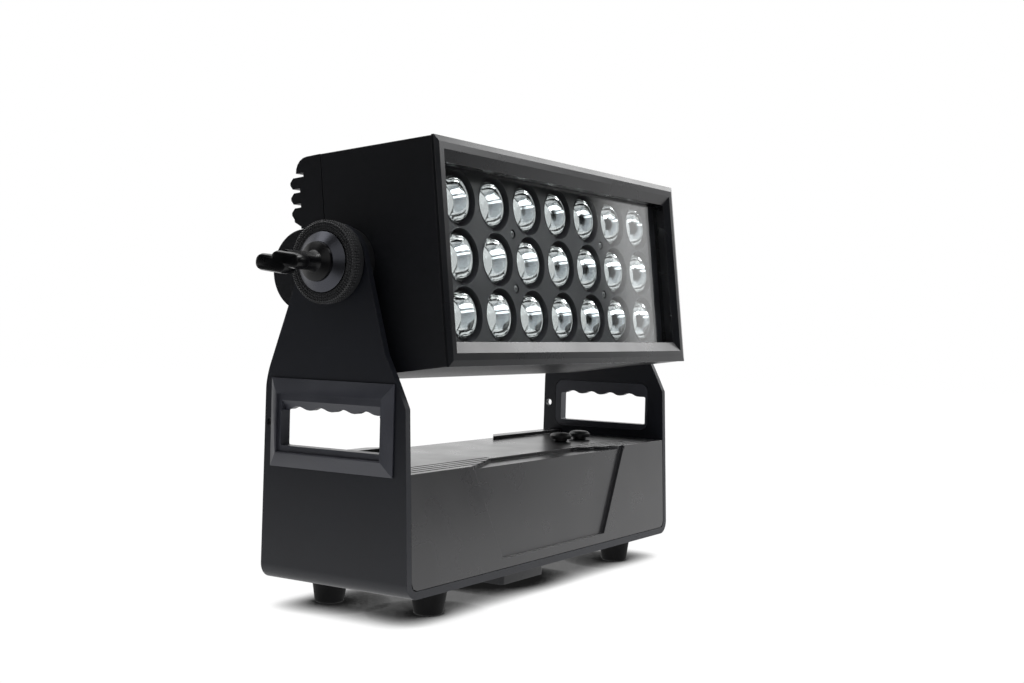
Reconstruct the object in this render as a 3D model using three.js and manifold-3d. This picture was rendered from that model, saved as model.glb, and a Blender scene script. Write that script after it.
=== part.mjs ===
// LED wash light on a U-shaped floor base: millimetres, +X along the length, the front faces -Y, +Z up.
import * as THREE from "three";
import { mergeVertices } from "three/addons/utils/BufferGeometryUtils.js";
import Module from "manifold-3d";

const wasm = await Module();
wasm.setup();

// Fits between pieces
const fit = 0.3; // clearance between pieces that touch or pass through each other
const overrun = 4; // how far a cutter runs past the face it cuts
const roundSegments = 32; // facets of a large turned piece
const footSegments = 24; // facets of a foot
const smallSegments = 16; // facets of a small turned piece
const pinSegments = 12; // facets of a pin or a screw hole
const lensSegments = 16; // facets of a lens and of the hole over it

// Overall
const overallLength = 400; // over the outer faces of the two arms
const plateThickness = 5.5;
const bendRadius = 11.5; // outer radius of the two bends
const footHeight = 20.5;

// U-shaped plate, in side view (y, z)
const chassisFrontLow = -68.9;
const chassisFrontHigh = -62.6;
const chassisRearLow = 65.2;
const chassisRearHigh = 63.7;
const chassisShoulder = 173.5; // height where the arms start to narrow
const shoulderRound = 14;
const pivotY = 2.9;
const pivotZ = 250.7;
const armEndRadius = 28;
const armTaperDepth = 45; // half depth of an arm just above the handle
const safetyHoleY = 59;
const safetyHoleZ = 135.2;
const safetyHoleRadius = 3.2;

// Handle inserts
const handleCentreZ = 135.7;
const handleCentreY = 1.3;
const handleLength = 111.5;
const handleHeight = 64;
const handleCrownLength = 96;
const handleCrownHeight = 43.8;
const handleRise = 5;
const handleRim = 1;
const handleWindowLength = 100;
const handleWindowHeight = 44;
const handleWindowCorner = 8;
const gripFrontY = -46;
const gripRearY = 44.9;
const gripLow = 119.5;
const gripHigh = 147.9; // top of a finger scallop
const gripCorner = 1.5;
const gripRim = 1; // flat top of the bevelled frame
const gripStep = 2.2; // how deep the field inside that rim lies
const gripLipWidth = 0.9;
const gripLipRise = 0.9;
const gripSlopeRise = 4; // the slope over the scallops starts this far above them
const fingerPitch = 20.4;
const fingerDepth = 2.6;
const fingerCount = 4;
const fingerCentreY = 1.8;

// Base cover
const coverTop = 106.4;
const coverWall = 3;
const coverRearTop = 56; // the top plane ends here and slopes down to the rear
const coverRearShoulder = 95.5;
const recessDepth = 2.8;
const recessTopHalf = 120;
const recessLowHalf = 79.5;
const recessLowZ = 33.7;
const recessRearHalf = 62;
const recessRearY = -43;
const grooveCount = 4;
const groovePitch = 6.8;
const grooveFirstY = -58;
const grooveWidth = 2.2;
const grooveDepth = 1.6;
const hoodInnerLow = 74;
const hoodInnerHigh = 92;
const hoodFrontY = 44;
const hoodRise = 3.2;

// Rear panel and its controls
const panelMargin = 26.5; // from the panel's end to the arm's inner face
const panelHalf = overallLength / 2 - plateThickness - panelMargin;
const panelLowZ = 31.5;
const panelHighZ = 89.5;
const panelThickness = 2.5;
const panelCorner = 4;
const panelSetback = 0.8; // from the cover's rear face to the panel's
const displayX = panelHalf * -0.357; // shares of the panel's half length
const displayWidth = 62;
const displayHeight = 24;
const displayZ = 71.5;
const displayCorner = 2;
const displayProud = 0.4;
const displayFlange = 2; // reach behind the panel
const displayFlangeThickness = 1.6;
const buttonCount = 4;
const buttonPitch = 20;
const buttonsZ = 43;
const buttonRadius = 5;
const buttonProud = 3.4;
const buttonFlange = 1.6; // reach behind the panel
const buttonFlangeThickness = 1.2;
const buttonEdge = 0.8; // bevel round the tip
const inletX = panelHalf * 0.7143;
const inletWidth = 30;
const inletHeight = 26;
const inletDepth = 18;
const inletCorner = 3;
const inletFlange = 4; // reach over the panel
const inletFlangeThickness = 2;
const inletWall = 3;
const inletWellDepth = 12;
const inletPinRadius = 1.6;
const inletPinLength = 10;
const inletPinPitch = 7;
const inletPinRise = 3; // the middle pin stands above the socket's centre
const inletPinDrop = 2; // and the outer two below it
const dataInX = panelHalf * 0.1786;
const dataOutX = panelHalf * 0.4286;
const dataRadius = 12;
const dataDepth = 20;
const dataFlange = 3; // reach over the panel
const dataFlangeThickness = 1.6;
const dataWall = 3;
const dataWellDepth = 9;
const dataCrown = 0.8; // how far the flange's inner edge stands over its outer edge
const socketZ = 57.5;

// Inside the base
const supplyLength = 190;
const supplyDepth = 78;
const supplyHeight = 44;
const supplyX = panelHalf * -0.4167;
const supplyY = -14;
const supplyStandoff = 6;
const supplyPostInset = 10;
const supplyPostRadius = 4;
const supplyVentCount = 9;
const supplyVentDepth = 2;
const boardLength = 150;
const boardHeight = 50;
const boardThickness = 1.6;
const boardGap = 6; // from the sockets' backs to the board
const partHeight = 12;

// Feet, caps and the underside plate
const footFrontX = 142;
const footRearX = 155;
const footFrontY = -45;
const footRearY = 37;
const footTopRadius = 13.2;
const footLowRadius = 11;
const footScrewRadius = 3;
const footScrewDepth = 9;
const footChamfer = 1;
const footFlange = 1.4;
const footFlangeHeight = 2;
const capRadius = 9.6;
const capStemRadius = 6;
const capHeight = 7.5;
const capSkirt = 2.2;
const capRound = 2.4; // height of its rounded edge
const capY = -6;
const capX = [108, 142];
const lockBlockHalf = 31;
const lockBlockDepth = 74;
const lockBlockDrop = 18;
const lockBlockCorner = 3;

// Head, in its own frame: pivot at 0, front at -Y, level
const headTilt = 6.4; // degrees, nose up, as photographed
const headHalfWidth = 185.8;
const headHalfHeight = 79.4;
const headFlare = 2.6; // how much taller each way the head is at its seam
const headRearHalfHeight = headHalfHeight + headFlare;
const headFrontY = -84.6;
const bezelDepth = 23; // front face to the back of the frame inside the body
const bezelLip = 3.4; // front face to the body's front edge
const bezelOverhang = 0.4; // how far the lip stands out over the body each way
const bezelBevel = 4.4; // width of the bevel round the front face
const bezelBevelDepth = 1.3;
const frameSide = 8.8; // flat frame beside the mouth
const frameEnd = 9.4; // and above and below it
const bezelOpenHalfWidth = headHalfWidth - frameSide;
const bezelOpenHalfHeight = headHalfHeight - frameEnd;
const mouthSlope = 5.5; // how far the mouth narrows on its left and right
const mouthDrop = 7.6; // and at its top and bottom
const mouthDepth = 4; // depth of that slope
const glassHalfWidth = bezelOpenHalfWidth - mouthSlope;
const glassHalfHeight = bezelOpenHalfHeight - mouthDrop;
const glassSetback = 11; // front face to the glass
const glassThickness = 3.2;
const glassCorner = 2;
const glassSeat = 3.4; // how far the glass reaches under the bezel
const seamY = 18;
const headWall = 3;

// Light engine
const lensColumns = 7;
const lensRows = 3;
const lensPitchX = glassHalfWidth * 0.27; // share of the glass
const lensPitchZ = glassHalfHeight * 0.6683; // share of the glass
const maskFrontY = -66.6;
const maskThickness = 2.4;
const maskHoleRadius = Math.min(lensPitchX, lensPitchZ) * 0.484; // share of the pitch
const lensRadius = Math.min(lensPitchX, lensPitchZ) * 0.422; // share of the pitch
const lensRimHeight = 3;
const lensDome = 2.2;
const lensNeckRadius = 7.5;
const lensLength = 20;
const lensFrontY = -65.2;
const maskScrewRadius = 3.6;
const ledThickness = 2;
const ledPostRadius = 2.2;
const ledBoardHalfWidth = glassHalfWidth;
const ledBoardHalfHeight = glassHalfHeight + glassSeat;

// Rear heat sink and the driver housing
const ribSlot = 3;
const ribSlotDepth = 7;
const ribCount = 4;
const ribRearY = 48;
const ribTopRearY = 42;
const ribTopRound = 11;
const sinkValleyY = 40;
const driverRadius = 30;
const driverCentreY = 40;
const driverFrontY = seamY + fit * 2;
const driverWall = 3;
const glandRadius = 5;
const ribFoot = 4; // height of the slope under the last rib
const ribShoulder = 2; // how far the slopes' ends stand in from the ribs' faces
const ribRoundSteps = 5;
const ribLastZ = driverRadius + fit * 6;
const ribPitch = (headRearHalfHeight - ribTopRound - ribLastZ - ribFoot - ribShoulder) / (ribCount - 1);
const ribEdge = (ribPitch - ribSlot) * 0.375; // share of a rib's thickness
const driverEndInset = 0.6;
const sinkWall = 6;
const sinkPlateThickness = 5;
const finCount = 12;
const finThickness = 3;
const finInset = 12; // from the plate's end to the first fin's middle

// Pivot hardware
const boltRadius = 4;
const boltBite = 8; // how far short of the wings the bolt ends
const boltHeadRadius = 11;
const boltHeadThickness = 4;
const hexSides = 6;
const frictionRadius = 26;
const ringRadius = 28.8;
const ringThickness = 12;
const ringBore = 21.8;
const ringEdge = 1.6;
const toothCount = 48; // facets of the rim
const coneLowRadius = 21.4;
const coneTopRadius = 14;
const coneRise = 4.4;
const coneSkirt = 8.4;
const coneProud = 0.4; // how far its edge stands out of the ring
const hubRadius = 13.8;
const hubThickness = 3;
const hubEdge = 2; // width of its bevel
const stemRadius = 6.3;
const stemFlare = 1.5;
const wingReach = 44.5; // from the arm to the inner face of the wings
const wingThickness = 13;
const wingTurn = 7; // degrees the bar is turned about its axis
const wingHeightFront = 10.4;
const wingHeightRear = 11.6;
const wingEndFront = 18.5;
const wingEndRear = 21;
const wingOverlap = 7;
const wingDropRear = 4;
const wingBevel = 2.6;

// Materials: plain facts of colour and finish
const powderCoat = { color: 0x2a2c31, roughness: 0.72, metalness: 0.1 };
const satinPaint = { color: 0x3a3b3e, roughness: 0.5, metalness: 0.1 };
const blackPlastic = { color: 0x1b1c1e, roughness: 0.45, metalness: 0 };
const greyPlastic = { color: 0x46484b, roughness: 0.55, metalness: 0 };
const glossPlastic = { color: 0x101114, roughness: 0.2, metalness: 0 };
const blackRubber = { color: 0x161616, roughness: 0.85, metalness: 0 };
const satinMetal = { color: 0xb4b5b8, roughness: 0.35, metalness: 1 };
const steel = { color: 0x8d9094, roughness: 0.4, metalness: 1 };
const circuitBoard = { color: 0x1f4a35, roughness: 0.6, metalness: 0 };
const whiteBoard = { color: 0xe8e9e6, roughness: 0.6, metalness: 0 };
const clearLens = { color: 0xf2f5f7, roughness: 0.05, metalness: 0 };
const clearGlass = { color: 0xe6ecef, roughness: 0.03, metalness: 0 };
const screenGlass = { color: 0x0c1116, roughness: 0.1, metalness: 0 };

const assembly = new THREE.Group();
const rad = THREE.MathUtils.degToRad;

// Solids and cutting
function solid(geometry) {
  const bare = geometry.index ? geometry.toNonIndexed() : geometry.clone();
  bare.deleteAttribute("normal");
  bare.deleteAttribute("uv");
  const merged = mergeVertices(bare, 1e-4);
  const mesh = new wasm.Mesh({
    numProp: 3,
    vertProperties: merged.attributes.position.array,
    triVerts: new Uint32Array(merged.index.array),
  });
  return new wasm.Manifold(mesh);
}

function geometryOf(shape) {
  const mesh = shape.getMesh();
  const geometry = new THREE.BufferGeometry();
  geometry.setAttribute("position", new THREE.BufferAttribute(new Float32Array(mesh.vertProperties), 3));
  geometry.setIndex(new THREE.BufferAttribute(new Uint32Array(mesh.triVerts), 1));
  const flat = geometry.toNonIndexed();
  flat.computeVertexNormals();
  return flat;
}

function cut(body, cutters) {
  return cutters.reduce((left, cutter) => left.subtract(cutter), body);
}

function join(bodies) {
  return bodies.reduce((left, right) => left.add(right));
}

// Adds one named piece to the assembly, or to another group
function place(name, shape, finish, group = assembly) {
  const mesh = new THREE.Mesh(geometryOf(shape), new THREE.MeshStandardMaterial(finish));
  mesh.name = name;
  group.add(mesh);
  return mesh;
}

// Outlines
function outline(points) {
  return new THREE.Shape(points.map(([a, b]) => new THREE.Vector2(a, b)));
}

function roundedBox(halfWidth, halfHeight, radius, centreA = 0, centreB = 0) {
  const shape = new THREE.Shape();
  const left = centreA - halfWidth;
  const right = centreA + halfWidth;
  const low = centreB - halfHeight;
  const high = centreB + halfHeight;
  shape.moveTo(left + radius, low);
  shape.lineTo(right - radius, low);
  shape.absarc(right - radius, low + radius, radius, -Math.PI / 2, 0);
  shape.lineTo(right, high - radius);
  shape.absarc(right - radius, high - radius, radius, 0, Math.PI / 2);
  shape.lineTo(left + radius, high);
  shape.absarc(left + radius, high - radius, radius, Math.PI / 2, Math.PI);
  shape.lineTo(left, low + radius);
  shape.absarc(left + radius, low + radius, radius, Math.PI, Math.PI * 1.5);
  return shape;
}

// A (y, z) outline swept along X from one x to another
function sweepX(shape, fromX, toX, curveSegments = 5) {
  const geometry = new THREE.ExtrudeGeometry(shape, { depth: toX - fromX, bevelEnabled: false, curveSegments });
  geometry.rotateX(Math.PI / 2);
  geometry.rotateZ(Math.PI / 2);
  return solid(geometry.translate(fromX, 0, 0));
}

// An (x, z) outline swept along Y
function sweepY(shape, fromY, toY, curveSegments = 4) {
  const geometry = new THREE.ExtrudeGeometry(shape, { depth: toY - fromY, bevelEnabled: false, curveSegments });
  geometry.rotateX(Math.PI / 2);
  return solid(geometry.translate(0, toY, 0));
}

// An (x, y) outline swept along Z
function sweepZ(shape, fromZ, toZ, curveSegments = 4) {
  const geometry = new THREE.ExtrudeGeometry(shape, { depth: toZ - fromZ, bevelEnabled: false, curveSegments });
  return solid(geometry.translate(0, 0, fromZ));
}

function box(fromX, toX, fromY, toY, fromZ, toZ) {
  const geometry = new THREE.BoxGeometry(toX - fromX, toY - fromY, toZ - fromZ);
  return solid(geometry.translate((fromX + toX) / 2, (fromY + toY) / 2, (fromZ + toZ) / 2));
}

// A turned piece: (radius, height) points from bottom to top, about Z, X or Y
function turned(points, axis, segments = smallSegments) {
  const profile = points.map(([radius, height]) => new THREE.Vector2(radius, height));
  const geometry = new THREE.LatheGeometry(profile, segments);
  geometry.rotateX(Math.PI / 2);
  if (axis === "x") geometry.rotateY(Math.PI / 2);
  if (axis === "y") geometry.rotateX(-Math.PI / 2);
  return solid(geometry);
}

function rod(radius, from, to, axis, segments = smallSegments) {
  return turned([[0, from], [radius, from], [radius, to], [0, to]], axis, segments);
}

// A rectangular block whose two ends differ in size: sections are (halfA, halfB) at x1 and x2
function taperedX(fromX, toX, fromHalves, toHalves, centreY, centreZ) {
  const geometry = new THREE.BoxGeometry(toX - fromX, 2, 2);
  const position = geometry.attributes.position;
  for (let i = 0; i < position.count; i += 1) {
    const halves = position.getX(i) > 0 ? toHalves : fromHalves;
    position.setY(i, position.getY(i) * halves[0]);
    position.setZ(i, position.getZ(i) * halves[1]);
  }
  return solid(geometry.translate((fromX + toX) / 2, centreY, centreZ));
}

// The same, along Y: sections are (halfX, halfZ) at y1 and y2
function taperedY(fromY, toY, fromHalves, toHalves) {
  const geometry = new THREE.BoxGeometry(2, toY - fromY, 2);
  const position = geometry.attributes.position;
  for (let i = 0; i < position.count; i += 1) {
    const halves = position.getY(i) > 0 ? toHalves : fromHalves;
    position.setX(i, position.getX(i) * halves[0]);
    position.setZ(i, position.getZ(i) * halves[1]);
  }
  return solid(geometry.translate(0, (fromY + toY) / 2, 0));
}

function mirrorX(shape) {
  return shape.mirror([1, 0, 0]);
}

const halfLength = overallLength / 2;
const armInner = halfLength - plateThickness;

// U-shaped plate
function frontAt(z) {
  const share = (z - footHeight) / (chassisShoulder - footHeight);
  return chassisFrontLow + (chassisFrontHigh - chassisFrontLow) * share;
}

function rearAt(z) {
  const share = (z - footHeight) / (chassisShoulder - footHeight);
  return chassisRearLow + (chassisRearHigh - chassisRearLow) * share;
}

// Side outline of the arm: straight sides, rounded shoulders, then a taper to a round end about the pivot
function armOutline() {
  const shape = new THREE.Shape();
  const tangent = Math.asin((armTaperDepth - armEndRadius) / (pivotZ - chassisShoulder));
  const endY = armEndRadius * Math.cos(tangent);
  const endZ = pivotZ + armEndRadius * Math.sin(tangent);
  shape.moveTo(chassisFrontLow, footHeight - overrun);
  shape.lineTo(chassisRearLow, footHeight - overrun);
  shape.lineTo(rearAt(chassisShoulder - shoulderRound), chassisShoulder - shoulderRound);
  shape.quadraticCurveTo(chassisRearHigh, chassisShoulder - shoulderRound / 2,
    pivotY + armTaperDepth + shoulderRound * 0.9, chassisShoulder + shoulderRound * 0.2);
  shape.lineTo(pivotY + endY, endZ);
  shape.absarc(pivotY, pivotZ, armEndRadius, tangent, Math.PI - tangent, false);
  shape.lineTo(pivotY - armTaperDepth - shoulderRound * 0.2, chassisShoulder + shoulderRound);
  shape.quadraticCurveTo(chassisFrontHigh + shoulderRound * 0.5, chassisShoulder - shoulderRound * 0.4,
    frontAt(chassisShoulder - shoulderRound * 1.6), chassisShoulder - shoulderRound * 1.6);
  shape.lineTo(chassisFrontLow, footHeight - overrun);
  return shape;
}

// Front outline of the bent plate: two arms and the bottom with its two bends
function bentOutline() {
  const shape = new THREE.Shape();
  const top = pivotZ + armEndRadius + overrun;
  const inner = bendRadius - plateThickness;
  shape.moveTo(-halfLength, top);
  shape.lineTo(-halfLength, footHeight + bendRadius);
  shape.absarc(-halfLength + bendRadius, footHeight + bendRadius, bendRadius, Math.PI, Math.PI * 1.5, false);
  shape.lineTo(halfLength - bendRadius, footHeight);
  shape.absarc(halfLength - bendRadius, footHeight + bendRadius, bendRadius, -Math.PI / 2, 0, false);
  shape.lineTo(halfLength, top);
  shape.lineTo(armInner, top);
  shape.lineTo(armInner, footHeight + bendRadius);
  shape.absarc(armInner - inner, footHeight + bendRadius, inner, 0, -Math.PI / 2, true);
  shape.lineTo(-armInner + inner, footHeight + plateThickness);
  shape.absarc(-armInner + inner, footHeight + bendRadius, inner, -Math.PI / 2, -Math.PI, true);
  shape.lineTo(-armInner, top);
  return shape;
}

function handleWindow(grow) {
  const halfWidth = handleWindowLength / 2 + grow;
  return roundedBox(halfWidth, handleWindowHeight / 2 + grow, handleWindowCorner, handleCentreY, handleCentreZ);
}

function yokeFrame() {
  const bent = sweepY(bentOutline(), chassisFrontLow - overrun, chassisRearLow + overrun, 6);
  const side = sweepX(armOutline(), -halfLength - overrun, halfLength + overrun, 14);
  const through = halfLength + overrun;
  const window = sweepX(handleWindow(0), -through, through);
  const pivotHole = rod(boltRadius + fit, -through, through, "x").translate(0, pivotY, pivotZ);
  const safetyHole = rod(safetyHoleRadius, -through, through, "x").translate(0, safetyHoleY, safetyHoleZ);
  return cut(bent.intersect(side), [window, pivotHole, safetyHole]);
}

// Outline of the grip opening: a plain box whose top edge waves over the four fingers
function gripOutline(grow) {
  const shape = new THREE.Shape();
  const front = gripFrontY - grow;
  const rear = gripRearY + grow;
  const low = gripLow - grow;
  const crest = gripHigh + grow;
  const ridge = crest - fingerDepth;
  const start = fingerCentreY - (fingerPitch * fingerCount) / 2;
  const quarter = fingerPitch / 4;
  shape.moveTo(front + gripCorner, low);
  shape.lineTo(rear - gripCorner, low);
  shape.quadraticCurveTo(rear, low, rear, low + gripCorner);
  shape.lineTo(rear, ridge - gripCorner);
  shape.quadraticCurveTo(rear, ridge, rear - gripCorner, ridge);
  shape.lineTo(start + fingerPitch * fingerCount, ridge);
  for (let finger = fingerCount - 1; finger >= 0; finger -= 1) {
    const at = start + finger * fingerPitch;
    const middle = at + fingerPitch / 2;
    shape.bezierCurveTo(middle + quarter, ridge, middle + quarter, crest, middle, crest);
    shape.bezierCurveTo(middle - quarter, crest, middle - quarter, ridge, at, ridge);
  }
  shape.lineTo(front + gripCorner, ridge);
  shape.quadraticCurveTo(front, ridge, front, ridge - gripCorner);
  shape.lineTo(front, low + gripCorner);
  shape.quadraticCurveTo(front, low, front + gripCorner, low);
  return shape;
}

// Handle insert: a bevelled, mitred frame round a sunken field; the opening in it has a lip on three sides,
// a slope over the scalloped edge, and a sleeve through the arm
function handleInsert() {
  const face = halfLength + fit;
  const crownHalves = [handleCrownLength / 2, handleCrownHeight / 2];
  const fieldHalves = crownHalves.map((half) => half - gripRim);
  const rimHalves = [handleLength / 2, handleHeight / 2];
  const crownX = face + handleRise;
  const rimX = face + handleRim;
  const fieldX = crownX - gripStep;
  const rim = taperedX(face, rimX, rimHalves, rimHalves, handleCentreY, handleCentreZ);
  const bevel = taperedX(rimX, crownX, rimHalves, crownHalves, handleCentreY, handleCentreZ);
  const sleeve = sweepX(handleWindow(-fit), armInner, rimX);
  const field = taperedX(fieldX, crownX + overrun, fieldHalves, fieldHalves, handleCentreY, handleCentreZ);
  const lip = sweepX(gripOutline(gripLipWidth), fieldX - gripLipRise, fieldX + gripLipRise);
  const slopeTop = gripHigh + gripSlopeRise;
  const slopeLow = gripHigh - fingerDepth;
  const slope = sweepY(outline([
    [face - handleRim, slopeLow],
    [crownX + overrun, slopeLow],
    [crownX + overrun, slopeTop],
    [fieldX, slopeTop],
  ]), gripFrontY, gripRearY);
  const opening = sweepX(gripOutline(0), armInner - overrun, crownX + overrun);
  const framed = cut(join([rim, bevel, sleeve]), [field]);
  return cut(framed.add(lip), [slope, opening]);
}

// Base cover: a folded shell inside the U with a recessed front and a lowered ledge on top
function recessOutline(inset) {
  return outline([
    [-recessTopHalf + inset, coverTop + overrun],
    [-recessLowHalf + inset, recessLowZ + inset],
    [recessLowHalf - inset, recessLowZ + inset],
    [recessTopHalf - inset, coverTop + overrun],
  ]);
}

function coverProfile(inset) {
  const bottom = footHeight + plateThickness + fit;
  const low = inset > 0 ? bottom - overrun : bottom;
  const frontInset = inset > 0 ? inset + recessDepth : 0;
  const top = coverTop - frontInset;
  return outline([
    [frontAt(low) + fit + frontInset, low],
    [rearAt(low) - inset, low],
    [rearAt(low) - inset, coverRearShoulder - inset],
    [coverRearTop - inset, top],
    [frontAt(top) + fit + frontInset, top],
  ]);
}

// Front outline of the cover: its lower corners clear the inside of the bends
function coverSection() {
  const half = armInner - fit;
  const low = footHeight + plateThickness + fit;
  const corner = bendRadius - plateThickness;
  const high = coverTop + overrun;
  return outline([
    [-half, high],
    [-half, low + corner],
    [-half + corner * 0.3, low + corner * 0.3],
    [-half + corner, low],
    [half - corner, low],
    [half - corner * 0.3, low + corner * 0.3],
    [half, low + corner],
    [half, high],
  ]);
}

function baseCover() {
  const half = armInner - fit;
  const section = sweepY(coverSection(), chassisFrontLow - overrun, chassisRearLow + overrun);
  const outer = sweepX(coverProfile(0), -half, half).intersect(section);
  const inner = sweepX(coverProfile(coverWall), -half + coverWall, half - coverWall);
  const slope = Math.atan((chassisFrontHigh - chassisFrontLow) / (chassisShoulder - footHeight));
  const frontCut = sweepY(recessOutline(0), -overrun * 3, recessDepth, 4)
    .translate(0, 0, -footHeight)
    .rotate([(-slope * 180) / Math.PI, 0, 0])
    .translate(0, chassisFrontLow + fit, footHeight);
  const ledge = sweepZ(outline([
    [-recessTopHalf - overrun, frontAt(coverTop) - overrun * 0.45],
    [recessTopHalf + overrun, frontAt(coverTop) - overrun * 0.45],
    [recessRearHalf, recessRearY],
    [-recessRearHalf, recessRearY],
  ]), coverTop - recessDepth, coverTop + overrun);
  const shell = cut(outer, [inner, frontCut, ledge, ...grooves(), panelSeat()]);
  return join([shell, rearHood(), mirrorX(rearHood())]);
}

// Four grooves along X on each side of the ledge
function grooves() {
  const made = [];
  const ledgeSlope = (recessTopHalf - recessRearHalf) / (recessRearY - frontAt(coverTop));
  for (let i = 0; i < grooveCount; i += 1) {
    const y = grooveFirstY + i * groovePitch;
    const inner = Math.max(recessRearHalf, recessRearHalf + (recessRearY - y) * ledgeSlope) - overrun;
    const low = coverTop - grooveDepth;
    const high = coverTop + overrun;
    const groove = box(inner, armInner + overrun, y - grooveWidth / 2, y + grooveWidth / 2, low, high);
    made.push(groove, mirrorX(groove));
  }
  return made;
}

// Raised strip along the rear of the top, its inner end cut at an angle
function rearHood() {
  const outerX = armInner - fit;
  return sweepZ(outline([
    [hoodInnerLow, hoodFrontY],
    [outerX, hoodFrontY],
    [outerX, coverRearTop],
    [hoodInnerHigh, coverRearTop],
  ]), coverTop - coverWall / 2, coverTop + hoodRise);
}

// The opening in the rear wall that the rear panel closes
function panelSeat() {
  const halfHeight = (panelHighZ - panelLowZ) / 2 + fit;
  const shape = roundedBox(panelHalf + fit, halfHeight, panelCorner, 0, (panelHighZ + panelLowZ) / 2);
  return sweepY(shape, chassisRearHigh - coverWall * 2, chassisRearLow + overrun);
}

// Rear panel with the display, the buttons and the connectors
const panelRearY = rearAt(panelHighZ) - panelSetback;
const panelFrontY = panelRearY - panelThickness;
const buttonX = Array.from({ length: buttonCount }, (unused, i) => displayX + (i - (buttonCount - 1) / 2) * buttonPitch);

function rearPanel() {
  const halfHeight = (panelHighZ - panelLowZ) / 2;
  const shape = roundedBox(panelHalf, halfHeight, panelCorner, 0, (panelHighZ + panelLowZ) / 2);
  const plate = sweepY(shape, panelFrontY, panelRearY);
  const from = panelFrontY - overrun;
  const to = panelRearY + overrun;
  const displayHole = sweepY(roundedBox(displayWidth / 2, displayHeight / 2, displayCorner, displayX, displayZ), from, to);
  const buttonHoles = buttonX.map((x) => rod(buttonRadius + fit, from, to, "y").translate(x, 0, buttonsZ));
  const dataHoles = [dataInX, dataOutX].map((x) => rod(dataRadius + fit, from, to, "y").translate(x, 0, socketZ));
  const inletHole = sweepY(inletOutline(fit), from, to);
  return cut(plate, [displayHole, inletHole, ...buttonHoles, ...dataHoles]);
}

function displayWindow() {
  const halfX = displayWidth / 2;
  const halfZ = displayHeight / 2;
  const face = roundedBox(halfX - fit, halfZ - fit, displayCorner, displayX, displayZ);
  const flange = roundedBox(halfX + displayFlange, halfZ + displayFlange, displayCorner, displayX, displayZ);
  const back = panelFrontY - fit;
  const front = back - displayFlangeThickness;
  return sweepY(face, (front + back) / 2, panelRearY + displayProud).add(sweepY(flange, front, back));
}

function pushButton(x) {
  const back = panelFrontY - fit;
  const tip = panelRearY + buttonProud;
  const flange = buttonRadius + buttonFlange;
  const profile = [
    [0, back - buttonFlangeThickness],
    [flange, back - buttonFlangeThickness],
    [flange, back],
    [buttonRadius, back],
    [buttonRadius, tip - buttonEdge],
    [buttonRadius - buttonEdge, tip],
    [0, tip],
  ];
  return turned(profile, "y").translate(x, 0, buttonsZ);
}

// Round data socket: flange outside the panel, body behind, a well with a keyed rim
function dataSocket(x) {
  const flangeRadius = dataRadius + dataFlange;
  const wellRadius = dataRadius - dataWall;
  const outside = panelRearY + fit;
  const face = outside + dataFlangeThickness;
  const profile = [
    [0, panelFrontY - dataDepth],
    [dataRadius, panelFrontY - dataDepth],
    [dataRadius, outside],
    [flangeRadius, outside],
    [flangeRadius, face],
    [wellRadius, face + dataCrown],
    [wellRadius, outside - dataWellDepth],
    [0, outside - dataWellDepth],
  ];
  return turned(profile, "y").translate(x, 0, socketZ);
}

function inletOutline(grow) {
  return roundedBox(inletWidth / 2 + grow, inletHeight / 2 + grow, inletCorner, inletX, socketZ);
}

function powerInlet() {
  const outside = panelRearY + fit;
  const flange = sweepY(inletOutline(inletFlange), outside, outside + inletFlangeThickness);
  const body = sweepY(inletOutline(0), panelFrontY - inletDepth, outside + inletFlangeThickness / 2);
  const floor = outside - inletWellDepth;
  const well = sweepY(inletOutline(-inletWall), floor, outside + overrun);
  const pin = rod(inletPinRadius, floor - inletPinRadius, floor + inletPinLength, "y", pinSegments);
  const pins = [-1, 0, 1].map((place) => pin.translate(
    inletX + inletPinPitch * place, 0, socketZ + (place === 0 ? inletPinRise : -inletPinDrop)));
  return join([cut(flange.add(body), [well]), ...pins]);
}

// Supply block and control board inside the base
function powerSupply() {
  const floor = footHeight + plateThickness + fit;
  const from = supplyX - supplyLength / 2;
  const to = supplyX + supplyLength / 2;
  const front = supplyY - supplyDepth / 2;
  const rear = supplyY + supplyDepth / 2;
  const low = floor + supplyStandoff;
  const block = box(from, to, front, rear, low, low + supplyHeight);
  const posts = [];
  for (const x of [from + supplyPostInset, to - supplyPostInset])
    for (const y of [front + supplyPostInset, rear - supplyPostInset])
      posts.push(rod(supplyPostRadius, floor, low + fit, "z", smallSegments).translate(x, y, 0));
  const vents = [];
  const ventPitch = supplyLength / (supplyVentCount + 0.5); // half a pitch is left at the ends
  const ventLow = low + supplyHeight * 0.23; // shares of the height
  const ventHigh = low + supplyHeight * 0.77;
  for (let i = 0; i < supplyVentCount; i += 1) {
    const x = from + ventPitch * (i + 0.75);
    vents.push(box(x, x + ventPitch * 0.4, front - overrun, front + supplyVentDepth, ventLow, ventHigh));
  }
  return cut(join([block, ...posts]), vents);
}

function controlBoard() {
  const back = panelFrontY - dataDepth - boardGap;
  const front = back - boardThickness;
  const floor = footHeight + plateThickness + fit;
  const from = dataInX - dataRadius;
  const board = box(from, from + boardLength, front, back, floor, floor + boardHeight);
  const mounted = (x, z, share) => box(
    from + boardLength * x, from + boardLength * (x + share), front - partHeight, back - boardThickness / 2,
    floor + boardHeight * z, floor + boardHeight * (z + 0.45));
  return join([board, mounted(0.13, 0.2, 0.19), mounted(0.53, 0.28, 0.2)]); // shares of the board
}

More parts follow.
